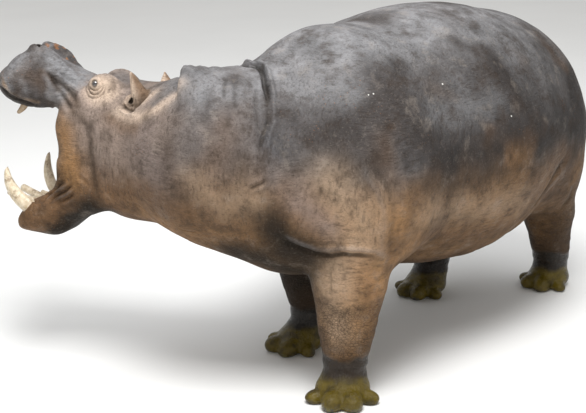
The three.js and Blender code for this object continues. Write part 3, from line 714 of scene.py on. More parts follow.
def make_skin_mesh():
    flesh = whole_animal()
    size = 1
    grid = (  # finest round the head
        graded(-1520, 1140, -1470, -840, 4.4 * size, 10.0 * size),
        graded(-640, 1290, 480, 1260, 4.4 * size, 10.0 * size),
        graded(-12, 1530, 560, 1400, 4.8 * size, 6.5 * size))
    points, quads = surface_nets(grid, sampled(flesh, grid))
    points, _ = drawn(flesh, points, 1)
    points = evened(points, quads)
    points, g = drawn(flesh, points, 2)
    normal = g / np.maximum(np.linalg.norm(g, axis=1, keepdims=True), 1e-6)
    folds, face = fold_depth(points), face_depth(points)
    move = (folds + face + wrinkle_depth(points)) * smooth(4, 30, points[:, 2])
    skin = points + normal * move[:, None]
    skin[:, 2] = np.maximum(skin[:, 2], 0)
    return points, normal, 0.75 * folds + face, skin, quads


# ---- colours
def srgb(r, g, b):
    """A colour given as it shows on screen, 0 to 255, as the light it returns."""
    c = np.array([r, g, b]) / 255
    return np.where(c <= 0.04045, c / 12.92, ((c + 0.055) / 1.055) ** 2.4)


SLATE = srgb(100, 97, 97)
DEEP_SLATE = srgb(56, 51, 49)
PALE_SLATE = srgb(136, 136, 138)
BLUE_SLATE = srgb(84, 86, 91)
TAN = srgb(150, 113, 74)
PALE_TAN = srgb(172, 147, 122)
BROWN = srgb(108, 81, 57)
UMBER = srgb(68, 52, 37)
CREAM = srgb(220, 196, 174)
MAUVE = srgb(152, 134, 122)
LAVENDER = srgb(128, 115, 111)
CHAR = srgb(28, 23, 16)
OLIVE = srgb(98, 83, 12)
WET = srgb(22, 18, 13)
PALATE = srgb(140, 100, 90)

BODY_MARKS_AND_PAINTED_LIGHT = (  # line, half width, colour, strength; rows of the hide's markings and rows of painted shade and painted highlights
    (((-789, -298, 1234), (-880, -240, 1170), (-943, -218, 1089)), 85, DEEP_SLATE, 0.75),
    (((-640, -385, 1240), (-565, -484, 1035)), 90, DEEP_SLATE, 0.6),
    (((-300, -343, 1341), (-120, -420, 1250), (30, -537, 1097)), 110, DEEP_SLATE, 0.5),
    # painted highlights: paler slate along the top of the neck and the back and high on the flank
    (((-907, -88, 1285), (-860, -180, 1270), (-800, -240, 1290)), 70, PALE_SLATE, 0.55),
    (((-700, -150, 1400), (-450, -200, 1440), (-150, -180, 1470)), 90, PALE_SLATE, 0.5),
    (((-500, -420, 1150), (-289, -490, 1149), (-100, -500, 1160)), 60, PALE_SLATE, 0.35),
    (((-797, -429, 1100), (-800, -425, 1000)), 60, BROWN, 0.3),
    (((-1102, -105, 1110), (-1115, -115, 1030), (-1122, -122, 960)), 52, BLUE_SLATE, 0.4),
    (((-1060, -100, 1180), (-1000, -160, 1100), (-960, -230, 1010)), 70, SLATE, 0.5),
    (((-1040, -190, 880), (-1000, -230, 820), (-960, -280, 760)), 70, LAVENDER, 0.7),
    (((-970, -290, 960), (-936, -339, 885), (-892, -406, 805), (-900, -385, 720)), 90, PALE_TAN, 0.7),
    # painted shade: dark strokes on the chest under the neck, in the armpit under the shoulder's overhang,
    # and under the brisket between the forelegs
    (((-1185, -70, 850), (-1129, -117, 826), (-1085, -140, 760), (-1007, -175, 690)), 62, UMBER, 0.8),
    (((-1110, -115, 735), (-1060, -145, 690), (-1000, -180, 655), (-950, -270, 630)), 60, CHAR, 0.8),
    (((-1115, -100, 770), (-1072, -146, 719), (-1041, -157, 672), (-995, -161, 618), (-953, -210, 541)),
     72, CHAR, 0.92),
    (((-1100, 60, 640), (-1050, -30, 620), (-960, -60, 560), (-900, -100, 520)), 125, CHAR, 0.95),
    (((-1150, -40, 800), (-1243, 18, 820), (-1330, 150, 840), (-1330, 330, 830)), 80, UMBER, 0.4),
    (((-960, -310, 590), (-955, -300, 450), (-940, -300, 300)), 85, PALE_TAN, 0.75),
    # painted shadow: the far foreleg and the near hind leg darkened in the shade of the belly
    (((-690, 180, 560), (-600, 200, 440), (-570, 190, 240)), 130, CHAR, 0.8),
    (((700, -350, 520), (800, -330, 380), (800, -330, 200)), 110, UMBER, 0.6),
    (((-1205, 21, 1163), (-1240, 30, 1110), (-1274, 39, 1054)), 95, BROWN, 0.45),
    (((-1214, -37, 1010), (-1228, -20, 950)), 52, UMBER, 0.55),
    (((-1200, -40, 900), (-1243, 18, 868), (-1309, 89, 931)), 75, PALE_TAN, 0.45),
    (((-1356, 229, 1060), (-1356, 229, 960), (-1340, 160, 900)), 60, UMBER, 0.45),
    (((-1344, 376, 1080), (-1350, 330, 1000), (-1356, 300, 940)), 100, LAVENDER, 0.5),
    (((-1296, 487, 854), (-1331, 341, 848), (-1310, 200, 800)), 70, BROWN, 0.6),
    # painted shade along the roll and the folds of the nape, then painted highlights on the skin between
    # them
    (((-1203, 273, 1306), (-1240, 255, 1270), (-1265, 238, 1225)), 16, DEEP_SLATE, 0.6),
    (((-1120, 180, 1340), (-1165, 150, 1300), (-1215, 130, 1240), (-1240, 110, 1180)), 14, DEEP_SLATE, 0.5),
    (((-1030, 160, 1360), (-1110, 90, 1310), (-1160, 60, 1250), (-1185, 40, 1180)), 13, DEEP_SLATE, 0.4),
    (((-1080, 240, 1360), (-1150, 200, 1320), (-1210, 180, 1260)), 15, PALE_SLATE, 0.45),
    (((-980, 60, 1330), (-1040, 10, 1285), (-1090, -25, 1220)), 20, PALE_SLATE, 0.4),
    # painted shade behind the rear edge of the shoulder
    (((-709, -491, 930), (-690, -495, 800), (-700, -480, 700)), 30, UMBER, 0.3),
    (((-640, -490, 905), (-418, -505, 860), (-252, -540, 850), (8, -570, 850)), 46, UMBER, 0.6),
    (((-600, -480, 760), (-418, -490, 730), (-120, -520, 700), (100, -510, 690)), 80, PALE_TAN, 0.5),
    (((222, -520, 700), (330, -530, 820), (496, -503, 780)), 70, BROWN, 0.6),
    (((-500, -420, 620), (-173, -437, 568), (120, -440, 560)), 50, BROWN, 0.5),
    # painted shade along the groin crease
    (((250, -380, 500), (300, -450, 590), (420, -500, 690)), 36, UMBER, 0.6),
)
HEAD_MARKS_AND_PAINTED_LIGHT = (  # the same, in the axes of the head
    (((75, 150, -215), (30, 180, -260), (-30, 190, -320), (-50, 185, -390)), 55, TAN, 0.9),
    # painted shade along the long crease down the cheek
    (((3, 192, -140), (-49, 199, -167), (-86, 198, -215), (-107, 200, -269), (-133, 207, -320),
      (-172, 208, -380)), 22, UMBER, 0.5),
    (((-50, 178, -105), (-110, 200, -130), (-170, 220, -120)), 55, MAUVE, 0.5),
    (((-120, 215, -80), (-190, 240, -90), (-260, 290, -60)), 34, BROWN, 0.5),
    (((-150, 190, -50), (-191, 222, -46), (-268, 297, -2), (-325, 335, 50), (-363, 338, 118),
      (-395, 322, 186)), 27, CREAM, 0.65),
    (((-215, 205, 20), (-250, 225, 50), (-270, 225, 90)), 28, CREAM, 0.6),
    (((-300, 300, 60), (-325, 300, 110), (-350, 290, 160)), 20, SLATE, 0.75),
    (((-140, 160, 55), (-190, 190, 75), (-240, 200, 110)), 26, SLATE, 0.5),
    # painted shade along two folds on the side of the muzzle
    (((230, 168, -25), (164, 152, -44), (119, 132, -64), (76, 148, -82), (24, 180, -104)), 17, UMBER, 0.7),
    (((183, 165, -46), (138, 144, -86), (80, 158, -116), (28, 188, -137)), 13, UMBER, 0.6),
    (((300, 180, -60), (240, 175, -70), (190, 160, -100)), 40, BROWN, 0.2),
    # painted highlight on the raised rim of the upper lip, painted shade in the fold under it
    (((380, 150, -110), (352, 190, -142), (305, 186, -166), (248, 176, -166), (198, 153, -162)), 9,
     PALE_TAN, 0.8),
    (((380, 140, -140), (344, 180, -170), (300, 178, -188), (248, 168, -190), (198, 146, -188)), 11,
     CHAR, 0.8),
    # painted highlights: paler slate on the upper sides of the muzzle
    (((360, 150, -40), (330, 160, -10), (290, 150, 10)), 34, PALE_SLATE, 0.5),
    (((230, 120, 0), (160, 100, -10), (90, 100, -20)), 30, PALE_SLATE, 0.4),
)


def blend(base, colour, mask):
    return base + (np.asarray(colour) - base) * np.clip(mask, 0, 1)[:, None]


def within(mass, points, depth=14):
    """1 on the skin that a cutting mass left behind, 0 a little way from it."""
    return smooth(depth, 0.3 * depth, np.abs(mass.distance(points)))


def body_tones(points, normal):
    """Slate above and tan below, with an uneven edge; a painted highlight on skin that faces up and painted
    shade on skin that faces down or to the side.
    """
    x, _, z = points.T
    streaks = rough_noise(points * (1, 1, 0.5), 150, 21)
    broad = rough_noise(points, 300, 31)
    fine = rough_noise(points, 55, 41)
    edge = 850 + 90 * smooth(-500, -950, x) - 40 * smooth(-1050, -1200, x) - 70 * smooth(0, 700, x)
    reach = 1 + 0.9 * smooth(-950, -1150, x)
    tan = smooth(120, -150, (z - edge + 75 * broad + 60 * streaks) / reach)
    tone = np.tile(SLATE, (len(points), 1))
    tone = blend(tone, DEEP_SLATE, 0.8 * smooth(-0.3, 0.8, broad + 0.5 * streaks))
    # painted highlight: paler slate on the upward-facing top of the back
    top = smooth(0.2, 0.9, normal[:, 2]) * smooth(1050, 1350, z)
    tone = blend(tone, PALE_SLATE, 0.6 * top * smooth(-0.6, 0.6, -broad - 0.5 * streaks))
    belt = bell(z - edge, 110, 130) * smooth(-700, -500, x)
    tone = blend(tone, DEEP_SLATE, 0.8 * belt)
    tone = blend(tone, BROWN, 0.5 * smooth(0.1, 0.7, rough_noise(points, 210, 35)) * smooth(1380, 1150, z))
    tone = blend(tone, TAN, 0.95 * tan)
    tone = blend(tone, BROWN, 0.6 * tan * smooth(-0.1, 0.6, streaks + 0.5 * fine))
    # painted shade: darker umber on tan skin that faces down
    tone = blend(tone, UMBER, 0.4 * tan * smooth(-0.2, -0.95, normal[:, 2]))
    patchy = rough_noise(points * (1, 1, 0.6), 95, 37) + 0.7 * rough_noise(points, 40, 39)
    tone = tone * (1 + 0.26 * patchy)[:, None]
    # painted shade: the trunk behind the shoulder darker where its skin faces to the side or down
    flank_shade = smooth(-760, -480, x) * smooth(1.0, 0.5, normal[:, 2])
    return tone * (1 - 0.36 * flank_shade)[:, None]


def mouth_tones(tone, points, q):
    """The palate, the floor of the mouth and the dark gums."""
    inside = np.zeros(len(points))
    for mass, _ in MOUTH:
        inside = np.maximum(inside, within(mass, points))
    inside *= smooth(420, 380, q[:, 0]) * smooth(175, 150, np.abs(q[:, 1]))
    tone = blend(tone, PALATE, 0.9 * inside)
    tone = blend(tone, UMBER, 0.5 * inside * smooth(0, 0.6, rough_noise(points, 60, 91)))
    gum = smooth(-176, -190, q[:, 2]) * smooth(170, 210, q[:, 0]) * (q[:, 2] > -260)
    return blend(tone, CHAR, 0.75 * gum), inside


def head_tones(tone, points, q):
    broad = rough_noise(points, 300, 31)
    fine = rough_noise(points, 48, 43)
    head = smooth(-420, -250, q[:, 0])
    tone = blend(tone, MAUVE, 0.7 * smooth(-620, -300, q[:, 0]) * smooth(-380, -200, q[:, 2])
                 * smooth(190, 30, q[:, 2]))
    tone = tone * (1 + 0.22 * head * rough_noise(points, 70, 49))[:, None]
    muzzle = smooth(20, 95, q[:, 0] + 0.35 * q[:, 2] + 30 * fine) * smooth(-235, -195, q[:, 2])
    nose = blend(np.tile(SLATE, (len(points), 1)), PALE_SLATE, 0.75 * smooth(-0.3, 0.6, broad + 0.7 * fine))
    nose = blend(nose, DEEP_SLATE, 0.85 * smooth(0.0, 0.6, rough_noise(points * (1, 1, 0.5), 120, 45)))
    nose = blend(nose, BROWN, 0.12 * smooth(0.1, 0.7, rough_noise(points, 90, 47)))
    tone = blend(tone, nose, muzzle * head)
    rust = patch(q, (245, -40, 28), (80, 70, 50)) * smooth(0.32, 0.5, noise(points, 17, 77))
    tone = blend(tone, srgb(168, 110, 62), 0.75 * rust)
    crown = patch(q, (-60, 0, 40), (150, 95, 80), 0.4)
    tone = blend(tone, SLATE, 0.7 * crown)
    return tone, muzzle, head


def jaw_tones(tone, points, head):
    """Brown, and nearly black under the chin."""
    j = JAW.into(points)
    fine = rough_noise(points, 48, 43)
    jaw = smooth(60, 300, j[:, 0] - 0.4 * j[:, 2] + 50 * fine) * smooth(-260, -220, j[:, 2])
    jaw *= smooth(80, 50, j[:, 2]) * head
    tone = blend(tone, BROWN, 0.8 * jaw)
    tone = blend(tone, UMBER, 0.5 * jaw * smooth(-0.1, 0.5, rough_noise(points, 80, 44)))
    chin = smooth(150, 260, j[:, 0]) * jaw
    return blend(tone, CHAR, 0.95 * chin * smooth(-55, -125, j[:, 2] + 25 * fine))


def ear_tones(tone, points, mine, hand, side):
    """Cream before; painted shade makes it brown behind and darker at the root, and dark in the hollow and
    in the groove round the root.
    """
    root, tip = ear_line(hand, side)
    d, t, away = line_distance(points, [root, tip])
    near = mine[:, 1] > 60
    cone = within(column(root, tip, *EAR_RADII), points, 16) * near
    behind = smooth(-0.35, 0.65, away @ -HEAD.matrix[:, 0] / np.maximum(d, 1))
    tone = blend(tone, CREAM, 0.6 * patch(mine, EAR_CANAL, (44, 40, 40), 0.3))
    tone = blend(tone, CREAM, 0.9 * cone)
    # painted shade: brown on the back of the cone, darker towards its root
    tone = blend(tone, BROWN, 0.85 * cone * behind)
    tone = blend(tone, UMBER, 0.6 * cone * smooth(0.4, 0.1, t))
    # painted shade in the groove round the root and in the hollow
    tone = blend(tone, UMBER, 0.7 * bell(d, EAR_GROOVE, 7) * smooth(0.3, 0.05, t) * near)
    return blend(tone, CHAR, 0.85 * patch(mine, EAR_CANAL, (15, 20, 18), 0.4))


def skin_colours(points, normal, creases):
    """The hide's colour at each vertex, and how wet and how wrinkled it is, 0 to 1."""
    q = HEAD.into(points)
    z = points[:, 2]
    fine = rough_noise(points, 48, 41)
    tone = body_tones(points, normal)
    tone, muzzle, head = head_tones(tone, points, q)
    tone = jaw_tones(tone, points, head)
    # painted shadow: near black on the low skin of the far side and on low skin turned towards it, in the
    # belly's shade
    far_side_shadow = smooth(0, 130, points[:, 1]) * smooth(640, 520, z) * (points[:, 0] > -900)
    inner = smooth(0.0, 0.7, normal[:, 1]) * smooth(600, 480, z)
    tone = blend(tone, CHAR, 0.86 * np.maximum(far_side_shadow, 0.75 * inner))
    sway = np.stack([noise(points, 90, 100 + i) for i in range(3)], 1)
    for line, width, colour, strength in placed(BODY_MARKS_AND_PAINTED_LIGHT, HEAD_MARKS_AND_PAINTED_LIGHT):
        reach = stroke(points + min(30, 0.45 * width) * sway, line, width)
        tone = blend(tone, colour, strength * reach)
    for _, s in SIDES:
        mine = q * (1, s, 1)
        round_eye = patch(mine + 9 * fine[:, None], (-40, 140, -14), (74, 60, 66))
        tone = blend(tone, CREAM, 0.8 * round_eye)
    tone, inside = mouth_tones(tone, points, q)
    # painted shade, with some dirt, darkens the creases; a painted highlight pales the raised skin beside
    # them
    tone = blend(tone, CHAR, 0.68 * smooth(-1.5, -9, creases))
    tone = blend(tone, PALE_SLATE, 0.2 * smooth(1, 6, creases))
    for hand, s in SIDES:
        mine = q * (1, s, 1)
        tone = ear_tones(tone, points, mine, hand, s)
        tone = blend(tone, WET, 0.9 * patch(mine, (306, 74, 30), (22, 14, 20), 0.35))
        tone = blend(tone, CHAR, 0.7 * patch(eye_axes(s).into(points), (0, 0, 17), (14, 19, 12), 0.25))
    leg = smooth(330, 230, z + 30 * fine)
    tone = blend(tone, UMBER, 0.55 * leg)
    wet = smooth(212, 176, z + 16 * fine)
    tone = blend(tone, WET, 0.92 * wet)
    moss = smooth(118, 84, z + 16 * fine)
    tone = blend(tone, OLIVE, moss * (0.75 + 0.25 * smooth(-0.4, 0.3, fine)))
    tone = blend(tone, WET, 0.5 * moss * smooth(0.1, 0.7, rough_noise(points, 36, 51)))
    tone = tone * (1 + 0.09 * rough_noise(points, 26, 61)[:, None])
    wetness = np.clip(0.9 * wet + 0.5 * inside, 0, 1)
    wrinkled = np.clip(0.35 + 0.5 * smooth(560, 400, z) + 0.3 * head * (1 - muzzle), 0, 1)
    return np.clip(0.9 * tone, 0, 1), wetness, wrinkled


# ---- meshes and materials
def in_scene(name, data):
    """A new object of the scene."""
    thing = bpy.data.objects.new(name, data)
    bpy.context.scene.collection.objects.link(thing)
    return thing


def mesh_object(name, points, faces, material):
    """A Blender object from points in the animal's frame and faces that all have n corners."""
    faces = np.asarray(faces, np.int32)
    mesh = bpy.data.meshes.new(name)
    mesh.vertices.add(len(points))
    mesh.vertices.foreach_set("co", to_scene(points).astype(np.float32).ravel())
    mesh.loops.add(faces.size)
    mesh.loops.foreach_set("vertex_index", faces.ravel())
    mesh.polygons.add(len(faces))
    sides = faces.shape[1]
    mesh.polygons.foreach_set("loop_start", np.arange(0, faces.size, sides, dtype=np.int32))
    mesh.polygons.foreach_set("loop_total", np.full(len(faces), sides, np.int32))
    mesh.update(calc_edges=True)
    mesh.validate()
    mesh.polygons.foreach_set("use_smooth", np.full(len(mesh.polygons), True))
    piece = in_scene(name, mesh)
    mesh.materials.append(material)
    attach(piece, "root")
    return piece


class Shader:
    """A material's node tree, with short ways to add nodes and links."""
    def __init__(self, name):
        self.material = bpy.data.materials.new(name)
        self.material.use_nodes = True
        self.tree = self.material.node_tree
        self.surface = self.tree.nodes["Principled BSDF"]
        self.where = self.node("ShaderNodeTexCoord").outputs["Object"]

    def give(self, socket, value):
        """Links another node's output to the socket, or sets a plain value on it."""
        if hasattr(value, "is_linked"):
            self.tree.links.new(value, socket)
        else:
            socket.default_value = (*value, 1.0) if socket.type == "RGBA" else value

    def node(self, kind, inputs=None, **settings):
        made = self.tree.nodes.new(kind)
        for key, value in settings.items():
            setattr(made, key, value)
        for key, value in (inputs or {}).items():
            self.give(made.inputs[key], value)
        return made

    def attribute(self, name, output="Fac"):
        return self.node("ShaderNodeAttribute", attribute_name=name).outputs[output]

    def stretched(self, scale):
        return self.node("ShaderNodeMapping", {"Scale": scale, "Vector": self.where}).outputs["Vector"]

    def noise(self, scale, detail=4.0, roughness=0.55, vector=None, twist=0.0):
        return self.node("ShaderNodeTexNoise", {
            "Scale": scale, "Detail": detail, "Roughness": roughness, "Distortion": twist,
            "Vector": vector or self.where}).outputs["Fac"]

    def cells(self, scale, feature="DISTANCE_TO_EDGE", vector=None):
        inputs = {"Scale": scale, "Vector": vector or self.where}
        return self.node("ShaderNodeTexVoronoi", inputs, feature=feature).outputs["Distance"]

    def ramp(self, value, low, high, to_low=0.0, to_high=1.0):
        inputs = {"Value": value, "From Min": low, "From Max": high, "To Min": to_low, "To Max": to_high}
        return self.node("ShaderNodeMapRange", inputs, interpolation_type="SMOOTHSTEP").outputs["Result"]

    def math(self, operation, a, b):
        return self.node("ShaderNodeMath", {0: a, 1: b}, operation=operation).outputs[0]

    def plus(self, a, b):
        return self.math("ADD", a, b)

    def minus(self, a, b):
        return self.math("SUBTRACT", a, b)

    def times(self, a, b):
        return self.math("MULTIPLY", a, b)

    def mix(self, factor, a, b):
        made = self.node("ShaderNodeMix", data_type="RGBA")
        for socket, value in zip([s for s in made.inputs if s.enabled], (factor, a, b)):
            self.give(socket, value)
        return [s for s in made.outputs if s.enabled][0]

    def bump(self, height, strength, distance, under=None):
        inputs = {"Height": height, "Strength": strength, "Distance": distance}
        if under:
            inputs["Normal"] = under
        return self.node("ShaderNodeBump", inputs).outputs["Normal"]

    def finish(self, colour, roughness, normal, **others):
        inputs = {"Base Color": colour, "Roughness": roughness, "Normal": normal}
        inputs.update((key.replace("_", " "), value) for key, value in others.items())
        for key, value in inputs.items():
            self.give(self.surface.inputs[key], value)
        return self.material


def hide_material():
    s = Shader("hide")
    tone = s.attribute("Tone", "Color")
    wet, wrinkled = s.attribute("Wet"), s.attribute("Wrinkled")
    cloud = s.noise(11, 6, 0.68)
    hair = s.noise(190, 5, 0.7, s.stretched((0.45, 0.6, 1)))  # fine lines, as on dry hide
    grain = s.noise(120, 5, 0.65)
    level = s.noise(70, 4, 0.6, s.stretched((0.34, 0.34, 1)), 0.3)  # wrinkles that lie level
    upright = s.noise(78, 4, 0.6, s.stretched((1, 1, 0.3)), 0.3)  # and ones that stand
    turned = s.ramp(s.noise(2.6, 2), 0.4, 0.6)
    wrinkle = s.plus(s.times(level, turned), s.times(upright, s.minus(1.0, turned)))
    colour = s.mix(s.ramp(cloud, 0.47, 0.7, 0.0, 0.58), tone, srgb(50, 39, 30))
    colour = s.mix(s.ramp(cloud, 0.46, 0.3, 0.0, 0.2), colour, srgb(160, 148, 136))
    # painted shade, with some dirt, in the valleys of the wrinkles
    colour = s.mix(s.ramp(wrinkle, 0.52, 0.3, 0.0, 0.42), colour, srgb(46, 36, 28))
    colour = s.mix(s.ramp(hair, 0.5, 0.32, 0.0, 0.4), colour, srgb(40, 32, 26))
    colour = s.mix(s.ramp(grain, 0.54, 0.7, 0.0, 0.1), colour, srgb(180, 168, 154))
    colour = s.mix(s.times(wet, 0.75), colour, tone)  # wet hide shows no dust
    rust = s.times(s.ramp(s.cells(62, "F1"), 0.16, 0.08), s.ramp(s.noise(4.5, 2), 0.58, 0.66))
    colour = s.mix(s.times(rust, 0.5), colour, srgb(150, 96, 52))
    specks = s.times(s.ramp(s.cells(9, "F1"), 0.04, 0.03), s.ramp(s.noise(3.1, 1), 0.62, 0.66))
    colour = s.mix(s.times(specks, 0.8), colour, srgb(226, 224, 218))
    reticle = s.cells(66, vector=s.stretched((1, 1, 1.5)))
    lines = s.ramp(reticle, 0.0, 0.12, 1.0, 0.0)
    cracked = s.times(s.ramp(wrinkled, 0.66, 0.85), s.ramp(wet, 0.7, 0.1))  # the dry legs
    colour = s.mix(s.times(lines, s.times(cracked, 0.55)), colour, srgb(52, 40, 32))
    cracks = s.times(s.ramp(reticle, 0.0, 0.14, 0.0, 2.0), cracked)
    normal = s.bump(s.noise(24, 4, 0.6), 0.35, 0.010)
    normal = s.bump(wrinkle, 0.9, 0.010, normal)
    normal = s.bump(s.plus(cracks, s.plus(grain, hair)), 0.7, 0.0032, normal)
    rough = s.minus(s.ramp(cloud, 0.3, 0.7, 0.52, 0.66), s.times(wet, 0.4))
    return s.finish(colour, rough, normal, Specular_IOR_Level=s.ramp(wet, 0.0, 1.0, 0.14, 0.3))


def ivory_material():
    s = Shader("ivory")
    along = s.attribute("Along")
    grain = s.noise(60, 4, 0.6)
    colour = s.mix(s.ramp(grain, 0.3, 0.7), srgb(226, 214, 192), srgb(196, 178, 148))
    colour = s.mix(s.ramp(along, 0.45, 0.0, 0.0, 0.75), colour, srgb(132, 104, 72))
    stain = s.times(s.ramp(s.noise(22, 5, 0.7), 0.52, 0.66), 0.7)
    colour = s.mix(stain, colour, srgb(120, 94, 66))
    normal = s.bump(grain, 0.3, 0.002)
    return s.finish(colour, s.ramp(grain, 0.3, 0.7, 0.32, 0.5), normal, Specular_IOR_Level=0.5)


def tongue_material():
    s = Shader("tongue")
    buds = s.cells(190, "F1")
    cloud = s.noise(18, 4)
    colour = s.mix(s.ramp(cloud, 0.35, 0.65), srgb(168, 112, 104), srgb(126, 84, 82))
    normal = s.bump(s.ramp(buds, 0.5, 0.0), 0.5, 0.0015, s.bump(cloud, 0.4, 0.005))
    return s.finish(colour, s.ramp(cloud, 0.3, 0.7, 0.3, 0.45), normal, Subsurface_Weight=0.1)


def eye_material():
    s = Shader("eye")
    radius = s.attribute("Iris")
    veins = s.noise(420, 4, 0.7)
    iris = s.mix(s.ramp(veins, 0.35, 0.65), srgb(96, 90, 88), srgb(44, 40, 42))
    white = s.mix(s.ramp(veins, 0.4, 0.7), srgb(150, 136, 124), srgb(112, 96, 86))
    colour = s.mix(s.ramp(radius, 0.74, 0.84), iris, white)
    colour = s.mix(s.ramp(radius, 0.34, 0.28), colour, (0.003, 0.003, 0.003))
    normal = s.bump(veins, 0.05, 0.0004)
    gloss = s.ramp(veins, 0.2, 0.8, 0.06, 0.12)
    return s.finish(colour, gloss, normal, Coat_Weight=1.0, Coat_Roughness=0.03)


def nail_material():
    s = Shader("nail")
    ridges = s.noise(90, 3, 0.5, s.stretched((1, 1, 0.25)))
    colour = s.mix(s.ramp(ridges, 0.35, 0.65), srgb(70, 62, 30), srgb(40, 34, 20))
    colour = s.mix(s.ramp(s.noise(40, 4), 0.45, 0.65, 0.0, 0.8), colour, srgb(92, 84, 22))
    return s.finish(colour, s.ramp(ridges, 0.3, 0.7, 0.25, 0.45), s.bump(ridges, 0.4, 0.002))


# ---- pieces of their own
def float_attribute(piece, name, values):
    piece.data.attributes.new(name, "FLOAT", "POINT").data.foreach_set(
        "value", np.asarray(values, np.float32))


def colour_attribute(piece, name, values):
    full = np.ones((len(values), 4), np.float32)
    full[:, :3] = values
    piece.data.attributes.new(name, "FLOAT_COLOR", "POINT").data.foreach_set("color", full.ravel())


def ring_faces(rings, sides):
    """Quads between rings of points, each ring given in turn."""
    i, j = np.meshgrid(np.arange(rings - 1), np.arange(sides), indexing="ij")
    i, j = i.ravel(), j.ravel()
    k = (j + 1) % sides
    return np.stack([i * sides + j, i * sides + k, (i + 1) * sides + k, (i + 1) * sides + j], 1)


def curve_through(points, count):
    """The polynomial curve through a few points, as `count` steps."""
    points = np.array(points, float)
    knots = np.linspace(0, 1, len(points))
    power = np.vander(knots, len(points))
    steps = np.linspace(0, 1, count)
    return np.vander(steps, len(points)) @ np.linalg.solve(power, points)


TIP = 0.93  # how far down a tooth its rounded end begins


def tooth(name, axes, path, radii, groove=0.0, flat=1.0, bevel=0.0):
    """A tooth swept along its path, with ridges down its length and a worn, bevelled tip.

    `radii` are its half widths, from the root to just below the tip."""
    rings, sides = 60, 36
    side = 1 if name.endswith("left") else -1
    line = axes.out(curve_through([mirrored(p, side) for p in path], rings))
    tangent = np.gradient(line, axis=0)
    tangent /= np.linalg.norm(tangent, axis=1, keepdims=True)
    across = np.cross(tangent, axes.matrix[:, 0])
    across /= np.linalg.norm(across, axis=1, keepdims=True)
    forward = np.cross(across, tangent)
    t = np.linspace(0, 1, rings)
    radius = np.interp(t, np.linspace(0, 1, len(radii)), radii)
    radius *= np.sqrt(np.clip(1 - ((t - TIP) / (1 - TIP)).clip(0) ** 2, 0.003, 1))
    a = np.linspace(0, 2 * np.pi, sides, endpoint=False)
    ridges = 1 - groove * bell(np.mod(a * 3 / np.pi, 1), 0.5, 0.16)
    section = radius[:, None] * ridges
    points = (line[:, None] + (section * flat * np.cos(a))[..., None] * across[:, None]
              + (section * np.sin(a))[..., None] * forward[:, None])
    worn = smooth(0.6, 1, t)[:, None] * smooth(-0.2, 1, -np.sin(a)) * bevel * radii[-1]
    points += worn[..., None] * forward[:, None]
    points = points.reshape(-1, 3)
    points += noise(points, 14, 71)[:, None] * radii[0] * 0.02
    piece = mesh_object(name, points, ring_faces(rings, sides), IVORY)
    stained = 0.12 if "upper" in name else 1.0  # the upper teeth are brown all along
    float_attribute(piece, "Along", np.repeat(stained * t, sides))
    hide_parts(name)


CANINE_LOWER = {
    "left": (((474, 146, -20), (490, 152, 50), (492, 160, 130), (448, 165, 210)), (33, 33, 31, 27, 21, 11)),
    "right": (((470, 146, -20), (472, 152, 62), (449, 160, 131), (392, 165, 192)), (25, 25, 24, 22, 17, 9)),
}
INCISOR_LOWER = {
    "left": ((450, 44, -10), (520, 47, 70), (564, 50, 148)),
    "right": ((462, 44, -20), (506, 46, 58), (545, 46, 140)),
    "outer": ((455, 92, -5), (488, 98, 40), (508, 101, 74)),
}


INCISOR_UPPER = {
    "inner": ((330, 38, -165), (334, 39, -190), (340, 40, -214)),
    "outer": ((318, 84, -165), (321, 86, -190), (326, 88, -212)),
}


def make_teeth():
    for hand, _ in SIDES:
        path, radii = CANINE_LOWER[hand]
        tooth(f"canine_lower_{hand}", JAW, path, radii, groove=0.07, flat=0.84, bevel=0.5)
        tooth(f"incisor_lower_inner_{hand}", JAW, INCISOR_LOWER[hand], (18, 18, 17, 15), groove=0.04)
        tooth(f"incisor_lower_outer_{hand}", JAW, INCISOR_LOWER["outer"], (13, 12, 9))
        tooth(f"canine_upper_{hand}", HEAD, ((252, 130, -165), (259, 132, -210), (272, 132, -252)),
              (17, 15, 10), groove=0.05, bevel=0.5)
        for place, path in INCISOR_UPPER.items():
            tooth(f"incisor_upper_{place}_{hand}", HEAD, path, (14, 13, 10))


def globe(centre, radii, rings=24, sides=36, axes=BODY):
    """Points and quads of an ellipsoid with tiny rings for poles, and its points on a unit ball."""
    u = np.linspace(0.004, math.pi - 0.004, rings)
    a = np.linspace(0, 2 * np.pi, sides, endpoint=False)
    ball = np.stack([
        np.sin(u)[:, None] * np.cos(a), np.sin(u)[:, None] * np.sin(a),
        np.repeat(np.cos(u)[:, None], sides, 1)], -1).reshape(-1, 3)
    return axes.out(ball * radii + centre), ring_faces(rings, sides), ball


IRIS_EDGE = 38  # degrees from the pole, a little past the iris


def make_eyes():
    """A glossy ball under the lids, with a dark pupil and a grey iris; its pole looks outward."""
    for hand, s in SIDES:
        points, faces, ball = globe((0, 0, 0), (EYE_RADIUS,) * 3, 40, 48, eye_axes(s))
        piece = mesh_object(f"eye_{hand}", points, faces, EYE_GLOSS)
        float_attribute(piece, "Iris", np.degrees(np.arccos(ball[:, 2])) / IRIS_EDGE)
        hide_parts(f"eye_{hand}")


def make_tongue():
    """A thick tongue on the jaw's floor, with a furrow down its middle."""
    points, faces, _ = globe((272, 0, -4), (142, 72, 36), 60, 72, JAW)
    local = JAW.into(points)
    furrow = bell(local[:, 1], 0, 9) * smooth(0, 20, local[:, 2])
    ripple = 2.2 * noise(local * (1, 0.5, 1), 22, 81) + 1.2 * noise(local, 9, 83)
    local[:, 2] += ripple * smooth(-10, 10, local[:, 2]) - 6 * furrow
    piece = mesh_object("tongue", JAW.out(local), faces, TONGUE)
    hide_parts("tongue")


MOLAR_HALF = (21, 17, 20)
MOLAR_STEP = 46


